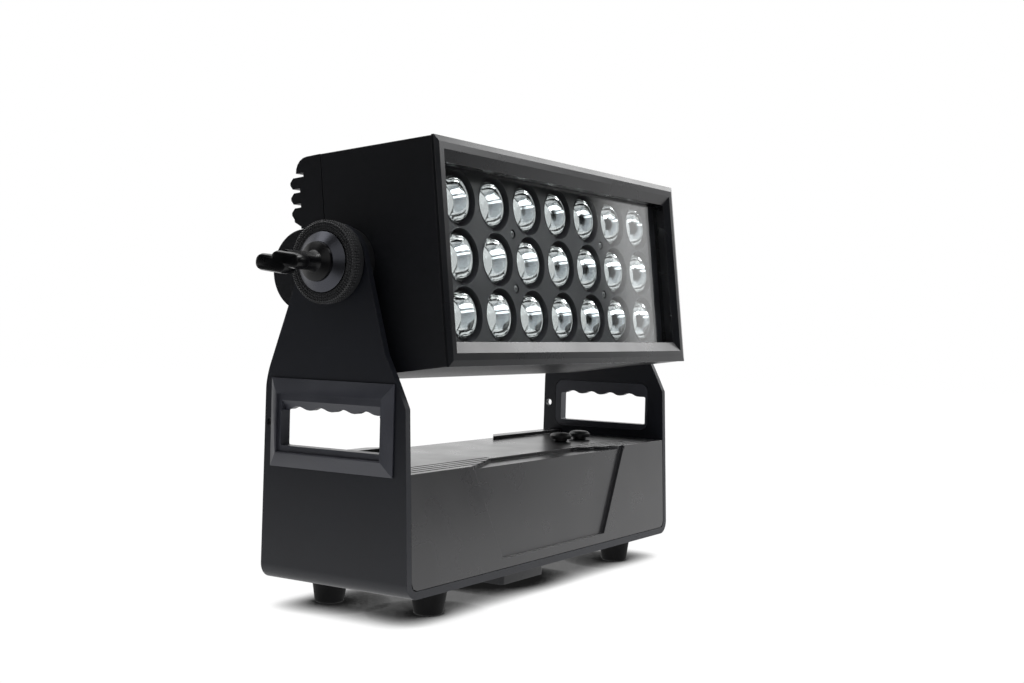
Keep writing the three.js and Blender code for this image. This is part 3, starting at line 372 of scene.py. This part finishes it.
# Clear PMMA and toughened glass: smooth and colourless. Rays from lamps pass straight through,
# so what lies behind is lit
def clearSolid(name, tint, ior, rough, smear=30, through=0.96):
    material, tree, shader, place = startMaterial(
        name, Base_Color=toLinear(tint), IOR=ior, Transmission_Weight=1.0
    )
    smears = rangeOf(tree, noiseOf(tree, place, smear, 3.0), narrowSpan, rough)
    tree.links.new(smears, shader.inputs["Roughness"])
    window = addNode(tree, "ShaderNodeBsdfTransparent", {"Color": (through, through, through, 1)})
    path = addNode(tree, "ShaderNodeLightPath").outputs
    blendShaders(tree, path["Is Shadow Ray"], shader, window)
    return material


# Fibreglass circuit board: green solder mask over copper tracks
def solderMask(name, board, track, gap=5):
    material, tree, shader, place = startMaterial(name, IOR=1.5, Roughness=0.35)
    boardColour, trackColour = toLinear(board), toLinear(track)
    tracks = addNode(tree, "ShaderNodeTexBrick", {
        "Vector": place, "Scale": 1 / (gap * mm), "Mortar Size": 0.03,
        "Color1": boardColour, "Color2": boardColour, "Mortar": trackColour,
    })
    tree.links.new(tracks.outputs["Color"], shader.inputs["Base Color"])
    return material


armCoat = powderCoat("powder coat on the arms", "#0b0d14", "#13161f")
headCoat = powderCoat("powder coat on the head", "#05060a", "#0c0e15")
frontEnamel = satinEnamel("satin enamel on the cover", "#212123", "#272729")
bezelEnamel = satinEnamel("satin enamel on the bezel", "#101114", "#151619", sheen=0.26)
gripNylon = mouldedPlastic("glass-filled nylon grip", "#303139", "#393b43", 0.9, (0.36, 0.46))
blackAbs = mouldedPlastic("black ABS", "#101113", "#17181a", 0.7, (0.4, 0.52))
glossAbs = mouldedPlastic(
    "polished black ABS", "#040405", "#07070a", 3.0, (0.26, 0.34), depth=0.01, sheen=0.25
)
maskAbs = mouldedPlastic(
    "matt black ABS mask", "#191a1f", "#212227", 0.6, (0.45, 0.55), sheen=0.45
)
rubber = mouldedPlastic(
    "moulded rubber", "#050506", "#0a0a0b", 0.8, (0.7, 0.85), ior=1.52, depth=0.08, sheen=0.15
)
ringRubber = mouldedPlastic(
    "nubbed rubber ring", "#131416", "#1b1c1f", 0.5, (0.5, 0.65), ior=1.52, depth=0.08
)
coneMetal = turnedAluminium("turned and black anodised aluminium", "#3c3d42", "#47484d", (0.27, 0.33))
steel = platedMetal("zinc-plated steel", "#8c8d8f", "#a9aaac", (0.3, 0.42))
supplySheet = platedMetal("perforated aluminium case", "#9c9d9f", "#b5b6b8", (0.35, 0.5))
boardGreen = solderMask("solder mask on fibreglass", "#12472f", "#1d6a44")
boardWhite = mouldedPlastic("white solder mask", "#d2d3d0", "#dededb", 1.2, (0.5, 0.6))
lensPmma = clearSolid("clear PMMA lens", "#fbfdff", 1.49, (0.02, 0.04))
frontClear = clearSolid("toughened front glass", "#f6f9f8", 1.5, (0.0, 0.02))
holderSilver = platedMetal("metallised plastic holder", "#dedfe0", "#e6e7e8", (0.06, 0.12))
phosphorDome = mouldedPlastic(
    "silicone over phosphor", "#c9a83c", "#d8bb58", 1.0, (0.3, 0.4), ior=1.41, depth=0.02
)
screenGlass = mouldedPlastic(
    "dark polycarbonate window", "#06080a", "#0a0d10", 4.0, (0.06, 0.12), ior=1.58, depth=0.005
)

feet = [f"foot_{end}_{side}" for end in ("front", "rear") for side in ("left", "right")]
buttons = [f"button_{i}" for i in range(1, 5)]
dress(armCoat, "yoke_frame")
dress(headCoat, "head_body", "rear_heat_sink", "driver_housing", "lock_block")
dress(frontEnamel, "base_cover", "rear_panel")
dress(bezelEnamel, "front_bezel")
dress(gripNylon, *pairOf("handle_insert"))
dress(blackAbs, "power_inlet", "vent_cap_inner", "vent_cap_outer", *pairOf("friction_disc"))
dress(glossAbs, *pairOf("clamp_knob"))
dress(maskAbs, "lens_mask")
dress(rubber, *feet, *buttons)
dress(ringRubber, *pairOf("clamp_ring"))
dress(coneMetal, *pairOf("cone_washer"))
dress(steel, "data_input", "data_output", *pairOf("pivot_bolt"))
dress(supplySheet, "power_supply")
dress(boardGreen, "control_board")
dress(boardWhite, "led_board")
dress(frontClear, "front_glass")
dress(screenGlass, "display_window")
dress(lensPmma, *lensNames)
print("finishes made")

# Softened edges: each solid is shaded smooth up to a limit, and the sharp edges of those listed by
# width get a small round. The weld joins the points that the shared frame leaves apart
softEdges = {
    "angle": 28,
    "crispAngle": 8,  # for the folded cover and the bezel, whose slopes are shallow
    "crisp": ("base_cover", "front_bezel"),
    "weld": 0.002,
    "widths": {
        0.25: ["front_bezel"],
        0.3: ["display_window", "data_input", "data_output", "lens_mask", *buttons, *pairOf("cone_washer")],
        0.4: ["rear_panel", "power_inlet", *pairOf("clamp_ring")],
        0.5: ["vent_cap_inner", "vent_cap_outer", "rear_heat_sink", *pairOf("handle_insert")],
        0.6: ["driver_housing", *feet, *pairOf("clamp_knob")],
        0.7: ["head_body"],
        0.8: ["base_cover", "lock_block"],
        0.9: ["yoke_frame"],
    },
}


# A new tree with named inputs, given as (name, kind of socket)
def startTree(name, *sockets):
    tree = bpy.data.node_groups.new(name, "GeometryNodeTree")
    for label, kind in sockets:
        tree.interface.new_socket(label, in_out="INPUT", socket_type="NodeSocket" + kind)
    tree.interface.new_socket("Geometry", in_out="OUTPUT", socket_type="NodeSocketGeometry")
    return tree, addNode(tree, "NodeGroupInput").outputs


def smoothShadeTree(angle):
    tree, given = startTree("smooth shade up to an angle", ("Geometry", "Geometry"))
    weld = {"Geometry": given[0], "Distance": softEdges["weld"] * mm}
    welded = addNode(tree, "GeometryNodeMergeByDistance", weld).outputs[0]
    turn = addNode(tree, "GeometryNodeInputMeshEdgeAngle").outputs["Unsigned Angle"]
    limit = {0: turn, 1: math.radians(angle)}
    sharp = addNode(tree, "FunctionNodeCompare", limit, data_type="FLOAT", operation="GREATER_THAN")
    values = {
        "Mesh": welded, "Remove Custom": True, "Edge Sharpness": sharp.outputs[0], "Face Sharpness": False
    }
    shaded = addNode(tree, "GeometryNodeSetMeshNormal", values, mode="SHARPNESS").outputs[0]
    addNode(tree, "NodeGroupOutput", {0: shaded})
    return tree


smoothShade = smoothShadeTree(softEdges["angle"])
crispShade = smoothShadeTree(softEdges["crispAngle"])
for name, solid in nodes.items():
    shade = crispShade if name in softEdges["crisp"] else smoothShade
    solid.modifiers.new("smooth shade", "NODES").node_group = shade
for width, names in softEdges["widths"].items():
    for name in names:
        bevel = nodes[name].modifiers.new("softened edges", "BEVEL")
        bevel.width = width * mm
        bevel.segments = 2
        bevel.limit_method = "ANGLE"
        bevel.angle_limit = math.radians(softEdges["angle"])
        bevel.harden_normals = True
print("edges softened")

# How the repeated pieces are made


# A ring of points round +Z. Where it has so many sides, it is a polygon with that inner radius
def ringOf(shape, radius, height, segments, sides=0):
    ring = []
    for i in range(segments):
        turn = 2 * math.pi * i / segments
        reach = radius
        if sides:
            side = 2 * math.pi / sides
            reach = radius / math.cos(turn % side - side / 2)
        ring.append(shape.verts.new((reach * mm * math.cos(turn), reach * mm * math.sin(turn), height * mm)))
    return ring


# A turned shape about +Z from (radius, height) pairs in millimetres, or triples with ringOf's sides
def turnedPiece(name, profile, segments, closed=False):
    shape = bmesh.new()
    rings = []
    for radius, height, *sides in profile:
        if radius == 0:
            rings.append([shape.verts.new((0, 0, height * mm))])
        else:
            rings.append(ringOf(shape, radius, height, segments, *sides))
    pairs = list(zip(rings, rings[1:]))
    if closed:
        pairs.append((rings[-1], rings[0]))
    for low, high in pairs:
        for i in range(segments):
            after = (i + 1) % segments
            lower = [low[0]] if len(low) == 1 else [low[after], low[i]]
            upper = [high[0]] if len(high) == 1 else [high[i], high[after]]
            shape.faces.new(lower + upper)
    bmesh.ops.recalc_face_normals(shape, faces=shape.faces)
    mesh = bpy.data.meshes.new(name)
    shape.to_mesh(mesh)
    shape.free()
    return keepMesh(name, mesh)


def endTree(tree, geometry, material):
    real = addNode(tree, "GeometryNodeRealizeInstances", {0: geometry}).outputs[0]
    painted = addNode(tree, "GeometryNodeSetMaterial", {"Geometry": real, "Material": material})
    addNode(tree, "NodeGroupOutput", {0: painted.outputs[0]})


def joinOf(tree, parts):
    joint = addNode(tree, "GeometryNodeJoinGeometry")
    for part in parts:
        tree.links.new(part, joint.inputs[0])
    return joint.outputs[0]


def copiesOf(tree, points, piece, **turned):
    values = {"Points": points, "Instance": piece, **turned}
    return addNode(tree, "GeometryNodeInstanceOnPoints", values).outputs[0]


def circleOf(tree, count, radius):
    return addNode(tree, "GeometryNodeMeshCircle", {"Vertices": count, "Radius": radius}).outputs[0]


def holeOf(tree, sides, radius):
    values = {"Resolution": sides, "Radius": radius}
    return addNode(tree, "GeometryNodeCurvePrimitiveCircle", values).outputs[0]


# Copies on a grid of points: columns along X, rows along Y
def gridOf(tree, columns, rows, pitchX, pitchY, piece):
    spanX = mathOf(tree, "MULTIPLY", pitchX, mathOf(tree, "SUBTRACT", columns, 1))
    spanY = mathOf(tree, "MULTIPLY", pitchY, mathOf(tree, "SUBTRACT", rows, 1))
    values = {"Size X": spanX, "Size Y": spanY, "Vertices X": columns, "Vertices Y": rows}
    return copiesOf(tree, addNode(tree, "GeometryNodeMeshGrid", values).outputs["Mesh"], piece)


def shapeOf(tree, piece):
    return addNode(tree, "GeometryNodeObjectInfo", {"Object": piece}).outputs["Geometry"]


def gridTree():
    tree, given = startTree(
        "copies on a grid", ("Piece", "Object"), ("Columns", "Int"), ("Rows", "Int"),
        ("Pitch X", "Float"), ("Pitch Y", "Float"), ("Material", "Material")
    )
    layout = [given[label] for label in ("Columns", "Rows", "Pitch X", "Pitch Y")]
    endTree(tree, gridOf(tree, *layout, shapeOf(tree, given["Piece"])), given["Material"])
    return tree


# Runs a tree with these inputs, sets the result in its place and keeps it as a plain mesh
def bakeTree(name, tree, inputs, place):
    host = keepMesh(name, bpy.data.meshes.new(name))
    modifier = host.modifiers.new("tree", "NODES")
    modifier.node_group = tree
    for socket in tree.interface.items_tree:
        if socket.in_out == "INPUT":
            modifier[socket.identifier] = inputs[socket.name]
    depsgraph = bpy.context.evaluated_depsgraph_get()
    mesh = bpy.data.meshes.new_from_object(host.evaluated_get(depsgraph), depsgraph=depsgraph)
    host.modifiers.remove(modifier)
    mesh.transform(place)
    host.data = mesh
    return host


def finishPiece(item, body, angle=28):
    item.modifiers.new("smooth shade", "NODES").node_group = smoothShadeTree(angle)
    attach(item, body)


def clearAway(*items):
    for item in items:
        bpy.data.objects.remove(item)


# Screw with a hexagon socket and a flange under its head
def socketScrew(name, radius, height, flange, sides=24):
    socket = radius * 0.5
    return turnedPiece(name, [
        (0, 0), (flange, 0), (flange, height * 0.2), (flange * 0.94, height * 0.26),
        (radius, height * 0.27), (radius, height * 0.7), (radius * 0.9, height * 0.93),
        (radius * 0.74, height), (socket, height, 6), (socket, height * 0.4, 6), (0, height * 0.4),
    ], sides)


# From a flat layout, X across and Z forwards, to this depth along the head's own Y
def onHead(depth):
    upright = Matrix.Rotation(math.radians(90), 4, "X")
    return headPlace @ Matrix.Translation((0, depth * mm, 0)) @ upright


# Window in the head: lens bank and its holders, mask with a collar behind each hole and four
# screws, emitters behind the lenses. Depths run along the head's own Y, in millimetres
window = {
    "columns": 7,
    "rows": 3,
    "pitchX": 46.305,
    "pitchY": 41.7,
    "maskRear": -64.2,
    "maskThickness": 2.4,
    "maskWidth": 349.8,
    "maskHeight": 131.6,
    "maskWeld": 0.01,
    "holeRadius": 20.18,
    "holeSides": 64,
    "collarWall": 0.62,
    "collarDepth": 10.5,
    "collarFloor": 14.9,
    "collarSheet": 1,
    "lipHeight": 0.3,
    "lipShape": ((0.1, 0.7), (0.35, 1), (0.65, 1), (0.9, 0.6)),  # shares of its wall and height
    "lipFoot": 0.2,
    "screwColumns": 3,  # lens columns from one mask screw to the next
    "screwHole": 3.6,
    "screwSides": 24,
    "screwSeat": -63.95,
    "screwHead": (2.5, 2.2, 3.2),  # radius, height, radius of its flange
    "lensRadius": 16.3,
    "lensRise": 5.5,  # height of the front dome
    "lensApex": -69.7,
    "lensEdge": 1.6,
    "lensNeck": 9.5,
    "lensDepth": 21.6,
    "lensSteps": 10,
    "lensSides": 56,
    "dishRadius": 4.6,
    "dishDepth": 0.3,
    "holderGap": 0.15,
    "holderWall": 0.7,
    "holderFloor": (0.05, 0.4),  # its two faces, behind the lens
    "footRadius": 9.0,  # the holder stands on the board on this ring
    "footHeight": 3.1,
    "chipFace": -44.95,
    "chipHalf": 1.7,
    "chipThickness": 0.6,
    "chipSides": 24,
    "domeRings": ((0.7, 1.4), (0.4, 2.1)),  # share of the chip's half width, height
    "domeHeight": 2.3,
    "lensAngle": 24,
}


# The lens's side from its edge back to its neck: a parabola, so that the light leaves straight
def lensSide(sizes):
    radius, steps = sizes["lensRadius"], sizes["lensSteps"]
    top, low = -sizes["lensRise"] - sizes["lensEdge"], -sizes["lensDepth"]
    narrow = 1 - (sizes["lensNeck"] / radius) ** 2
    shares = [i / steps for i in range(steps + 1)]
    return [(radius * math.sqrt(1 - share * narrow), top + (low - top) * share) for share in shares]


# Collimator lens: a domed front, a narrow edge, the curved side and a shallow dish in its rear
def lensProfile(sizes):
    radius, rise, steps = sizes["lensRadius"], sizes["lensRise"], sizes["lensSteps"]
    curve = (radius**2 + rise**2) / (2 * rise)
    reach = math.asin(radius / curve)
    turns = [reach * i / steps for i in range(1, steps + 1)]
    front = [(curve * math.sin(turn), curve * (math.cos(turn) - 1)) for turn in turns]
    dish, deep, low = sizes["dishRadius"], sizes["dishDepth"], -sizes["lensDepth"]
    rear = [(dish, low), (dish * 0.96, low + deep * 0.8), (dish * 0.6, low + deep * 0.95), (0, low + deep)]
    return [(0, 0), *front, *lensSide(sizes), *rear]


# Collar: the cup behind a hole, open in the middle for the lens, with a fine rounded lip
def collarProfile(sizes):
    inner, outer = sizes["holeRadius"], sizes["holeRadius"] + sizes["collarWall"]
    front, rear = sizes["maskThickness"], sizes["maskThickness"] - sizes["collarDepth"]
    floor, inside = sizes["collarFloor"], rear + sizes["collarSheet"]
    lip = [
        (inner + sizes["collarWall"] * across, front + sizes["lipHeight"] * up)
        for across, up in sizes["lipShape"]
    ]
    return [
        (floor, rear), (floor, inside), (inner, inside), (inner, front), *lip,
        (outer, front - sizes["lipFoot"]), (outer, rear),
    ]


# Holder: a bright cup close round the lens's side, open at the bottom for the emitter, with a
# foot down to the board
def holderProfile(sizes):
    inside = [(r + sizes["holderGap"], z) for r, z in lensSide(sizes)]
    outside = [(r + sizes["holderWall"], z) for r, z in inside]
    low, opening, foot = -sizes["lensDepth"], sizes["dishRadius"], sizes["footRadius"]
    upper, lower = (low - depth for depth in sizes["holderFloor"])
    base = low - sizes["footHeight"]
    under = [(opening, upper), (opening, lower), (foot, lower), (foot, base), (outside[-1][0], base)]
    return inside + under + outside[::-1]


# Emitter: a square carrier with a silicone dome on it
def chipProfile(sizes):
    half, thick = sizes["chipHalf"], sizes["chipThickness"]
    brim = thick * 1.25
    dome = [(half * share, height) for share, height in sizes["domeRings"]]
    return [
        (0, 0), (half, 0, 4), (half, thick, 4), (half * 0.92, brim, 4), (half * 0.8, brim), *dome,
        (0, sizes["domeHeight"]),
    ]


def maskTree(sizes):
    tree, given = startTree(
        "mask with round holes", ("Columns", "Int"), ("Rows", "Int"), ("Width", "Float"),
        ("Height", "Float"), ("Thickness", "Float"), ("Pitch X", "Float"), ("Pitch Y", "Float"),
        ("Hole radius", "Float"), ("Screw hole", "Float"), ("Collar", "Object"), ("Material", "Material")
    )
    layout = [given[label] for label in ("Columns", "Rows", "Pitch X", "Pitch Y")]
    outline = {"Width": given["Width"], "Height": given["Height"]}
    outer = addNode(tree, "GeometryNodeCurvePrimitiveQuadrilateral", outline).outputs[0]
    holes = gridOf(tree, *layout, holeOf(tree, sizes["holeSides"], given["Hole radius"]))
    span = mathOf(tree, "MULTIPLY", given["Pitch X"], sizes["screwColumns"])
    screwHole = holeOf(tree, sizes["screwSides"], given["Screw hole"])
    screwHoles = gridOf(tree, 2, 2, span, given["Pitch Y"], screwHole)
    curves = joinOf(tree, (outer, holes, screwHoles))
    real = addNode(tree, "GeometryNodeRealizeInstances", {0: curves}).outputs[0]
    sheet = addNode(tree, "GeometryNodeFillCurve", {"Curve": real}).outputs[0]
    values = {"Mesh": sheet, "Offset Scale": given["Thickness"], "Individual": False}
    drawn = addNode(tree, "GeometryNodeExtrudeMesh", values).outputs[0]
    back = addNode(tree, "GeometryNodeFlipFaces", {"Mesh": sheet}).outputs[0]
    values = {"Geometry": joinOf(tree, (drawn, back)), "Distance": sizes["maskWeld"] * mm}
    plate = addNode(tree, "GeometryNodeMergeByDistance", values).outputs[0]
    collars = gridOf(tree, *layout, shapeOf(tree, given["Collar"]))
    endTree(tree, joinOf(tree, (plate, collars)), given["Material"])
    return tree


def makeWindow(sizes):
    tree, angle, sides = gridTree(), sizes["lensAngle"], sizes["lensSides"]
    grid = {
        "Columns": sizes["columns"], "Rows": sizes["rows"],
        "Pitch X": sizes["pitchX"] * mm, "Pitch Y": sizes["pitchY"] * mm,
    }
    onLenses = onHead(sizes["lensApex"])
    lens = turnedPiece("lens", lensProfile(sizes), sides)
    bank = bakeTree("lensBank", tree, {**grid, "Piece": lens, "Material": lensPmma}, onLenses)
    finishPiece(bank, "head", angle)
    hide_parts(*lensNames)

    holder = turnedPiece("holder", holderProfile(sizes), sides, closed=True)
    holders = bakeTree("lensHolders", tree, {**grid, "Piece": holder, "Material": holderSilver}, onLenses)
    finishPiece(holders, "head", angle)

    collar = turnedPiece("collar", collarProfile(sizes), sizes["holeSides"], closed=True)
    mask = bakeTree("maskPlate", maskTree(sizes), {
        **grid, "Width": sizes["maskWidth"] * mm, "Height": sizes["maskHeight"] * mm,
        "Thickness": sizes["maskThickness"] * mm, "Screw hole": sizes["screwHole"] * mm,
        "Hole radius": (sizes["holeRadius"] + sizes["collarWall"] / 2) * mm,
        "Collar": collar, "Material": maskAbs,
    }, onHead(sizes["maskRear"]))
    finishPiece(mask, "head")
    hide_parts("lens_mask")

    screw = socketScrew("screw", *sizes["screwHead"])
    screws = bakeTree("maskScrews", tree, {
        **grid, "Columns": 2, "Rows": 2, "Pitch X": sizes["pitchX"] * sizes["screwColumns"] * mm,
        "Piece": screw, "Material": steel,
    }, onHead(sizes["screwSeat"]))
    finishPiece(screws, "head")

    chip = turnedPiece("chip", chipProfile(sizes), sizes["chipSides"])
    onBoard = onHead(sizes["chipFace"])
    chips = bakeTree("emitters", tree, {**grid, "Piece": chip, "Material": phosphorDome}, onBoard)
    finishPiece(chips, "head")
    clearAway(lens, holder, collar, screw, chip)


makeWindow(window)
print("window made")

# Nubs on the clamp rings: rows on the outer face and on the rim, as the moulded grip has them
rings = {
    "nubRadius": 0.72,
    "nubRings": ((1, -0.3), (0.93, 0.25), (0.55, 0.6)),  # share of the radius, height
    "nubHeight": 0.72,
    "nubSides": 8,
    "pitch": 1.95,
    "faceRows": (23.6, 25.6, 27.5),
    "faceX": 212.25,  # distance of the ring's outer face from the middle of the light
    "rimRadius": 28.75,
    "rimRows": (-1.5, -3.5, -5.5),
}


# One row of nubs: on the face they stand along Z, on the rim they stand outwards
def nubRow(tree, given, label, nub):
    onRim = label.startswith("Rim")
    radius = given["Rim radius"] if onRim else given[label]
    around = mathOf(tree, "MULTIPLY", radius, 2 * math.pi)
    circle = circleOf(tree, mathOf(tree, "DIVIDE", around, given["Pitch"]), radius)
    if onRim:
        drop = addNode(tree, "ShaderNodeCombineXYZ", {"Z": given[label]}).outputs[0]
        values = {"Geometry": circle, "Offset": drop}
        circle = addNode(tree, "GeometryNodeSetPosition", values).outputs[0]
    here = addNode(tree, "GeometryNodeInputPosition").outputs[0]
    outwards, upwards = ((1, 1, 0), (0, 0, 0)) if onRim else ((0, 0, 0), (0, 0, 1))
    aim = vectorOf(tree, "ADD", vectorOf(tree, "MULTIPLY", here, outwards), upwards)
    turn = addNode(tree, "FunctionNodeAlignRotationToVector", {"Vector": aim}, axis="Z").outputs[0]
    return copiesOf(tree, circle, nub, Rotation=turn)


def nubTree(labels):
    tree, given = startTree(
        "nubs on a ring", ("Nub", "Object"), ("Pitch", "Float"), ("Rim radius", "Float"),
        ("Material", "Material"), *[(label, "Float") for label in labels]
    )
    nub = shapeOf(tree, given["Nub"])
    rows = [nubRow(tree, given, label, nub) for label in labels]
    endTree(tree, joinOf(tree, rows), given["Material"])
    return tree


def makeNubs(sizes):
    shaped = [(sizes["nubRadius"] * share, height) for share, height in sizes["nubRings"]]
    profile = [(0, shaped[0][1]), *shaped, (0, sizes["nubHeight"])]
    nub = turnedPiece("nub", profile, sizes["nubSides"])
    rows = {f"Face row {i + 1}": radius * mm for i, radius in enumerate(sizes["faceRows"])}
    rows.update({f"Rim row {i + 1}": height * mm for i, height in enumerate(sizes["rimRows"])})
    tree = nubTree(rows)
    inputs = {
        "Nub": nub, "Pitch": sizes["pitch"] * mm, "Rim radius": sizes["rimRadius"] * mm,
        "Material": ringRubber, **rows,
    }
    for side, name in ((-1, "ringNubsLeft"), (1, "ringNubsRight")):
        place = Matrix.Translation(pivot + Vector((side * sizes["faceX"] * mm, 0, 0)))
        nubs = bakeTree(name, tree, inputs, place @ Matrix.Rotation(side * math.pi / 2, 4, "Y"))
        finishPiece(nubs, "base", angle=60)
    clearAway(nub)


makeNubs(rings)
print("ring nubs made")

# Screws on the rear panel and up in the feet, and the contacts in the two data sockets
fittings = {
    "panelSeat": (0, 72.15, 60.5),
    "panelPitch": (324, 46),
    "panelScrew": (2.5, 1.7, 3.3),  # radius, height, radius of its flange
    "footZ": 9.05,
    "footScrew": (3.6, 3.0, 5.2),
    "feet": (("footScrewsFront", 284, -36.54), ("footScrewsRear", 310, 45.46)),  # pitch, Y
    "inputX": 30,  # pins stand in this socket
    "outputX": 72,  # and contacts with plug holes in this one
    "socketZ": 57.5,
    "wellRadius": 8.6,
    "wellFloor": 63.6,
    "carrier": (-1, 0.8, 1.3),  # heights of its rear, its edge and its face
    "carrierEdge": 0.5,
    "carrierSides": 40,
    "contactCount": 5,
    "contactRing": 4.4,
    "pinRadius": 1.1,
    "pinLength": 5.0,
    "pinPoint": (0.8, 0.1),  # from the tip back to where it narrows, and to its blunt end
    "eye": (1.2, 1.7, 1.8, 1.5),  # heights of a plug hole's foot, edge, lip and floor
    "contactSides": 16,
}


def contactTree():
    tree, given = startTree(
        "contacts in a ring", ("Contact", "Object"), ("Carrier", "Object"), ("Count", "Int"),
        ("Radius", "Float"), ("Material", "Material"), ("Carrier material", "Material")
    )
    circle = circleOf(tree, given["Count"], given["Radius"])
    contacts = copiesOf(tree, circle, shapeOf(tree, given["Contact"]))
    shapes = ((contacts, "Material"), (shapeOf(tree, given["Carrier"]), "Carrier material"))
    painted = []
    for shape, material in shapes:
        real = addNode(tree, "GeometryNodeRealizeInstances", {0: shape}).outputs[0]
        values = {"Geometry": real, "Material": given[material]}
        painted.append(addNode(tree, "GeometryNodeSetMaterial", values).outputs[0])
    addNode(tree, "NodeGroupOutput", {0: joinOf(tree, painted)})
    return tree


def placeOf(*place):
    return Matrix.Translation(Vector(place) * mm)


def makeScrews(sizes):
    grid = gridTree()
    pitchX, pitchZ = sizes["panelPitch"]
    screw = socketScrew("panelScrew", *sizes["panelScrew"])
    facingRear = Matrix.Rotation(-math.pi / 2, 4, "X")
    panel = bakeTree("panelScrews", grid, {
        "Columns": 2, "Rows": 2, "Pitch X": pitchX * mm, "Pitch Y": pitchZ * mm,
        "Piece": screw, "Material": steel,
    }, placeOf(*sizes["panelSeat"]) @ facingRear)
    finishPiece(panel, "base")
    footScrew = socketScrew("footScrew", *sizes["footScrew"])
    facingDown = Matrix.Rotation(math.pi, 4, "X")
    for name, pitch, y in sizes["feet"]:
        screws = bakeTree(name, grid, {
            "Columns": 2, "Rows": 1, "Pitch X": pitch * mm, "Pitch Y": 0.0,
            "Piece": footScrew, "Material": steel,
        }, placeOf(0, y, sizes["footZ"]) @ facingDown)
        finishPiece(screws, "base")
    clearAway(screw, footScrew)


# The block that holds a socket's contacts
def makeCarrier(sizes):
    rear, edge, face = sizes["carrier"]
    well, narrow = sizes["wellRadius"], sizes["wellRadius"] - sizes["carrierEdge"]
    profile = [(0, rear), (well, rear), (well, edge), (narrow, face), (0, face)]
    return turnedPiece("carrier", profile, sizes["carrierSides"])


def makePin(sizes):
    r, reach = sizes["pinRadius"], sizes["pinLength"]
    narrows, blunt = (reach - back for back in sizes["pinPoint"])
    profile = [(0, 0), (r, 0), (r, narrows), (r * 0.6, blunt), (0, reach)]
    return turnedPiece("pin", profile, sizes["contactSides"])


# The metal round a plug hole
def makeEye(sizes):
    r = sizes["pinRadius"]
    foot, edge, lip, floor = sizes["eye"]
    rim = [(r * 1.5, foot), (r * 1.5, edge), (r * 1.1, lip), (r * 0.9, floor)]
    return turnedPiece("eye", [(0, foot), *rim, (0, floor)], sizes["contactSides"])


def makeContacts(sizes):
    tree = contactTree()
    carrier, pin, eye = makeCarrier(sizes), makePin(sizes), makeEye(sizes)
    facingRear = Matrix.Rotation(-math.pi / 2, 4, "X")
    sockets = (("inputContacts", sizes["inputX"], pin), ("outputContacts", sizes["outputX"], eye))
    for name, x, contact in sockets:
        contacts = bakeTree(name, tree, {
            "Contact": contact, "Carrier": carrier, "Count": sizes["contactCount"],
            "Radius": sizes["contactRing"] * mm, "Material": steel, "Carrier material": blackAbs,
        }, placeOf(x, sizes["wellFloor"], sizes["socketZ"]) @ facingRear)
        finishPiece(contacts, "base", angle=35)
    clearAway(carrier, pin, eye)


makeScrews(fittings)
makeContacts(fittings)
print("fittings made")
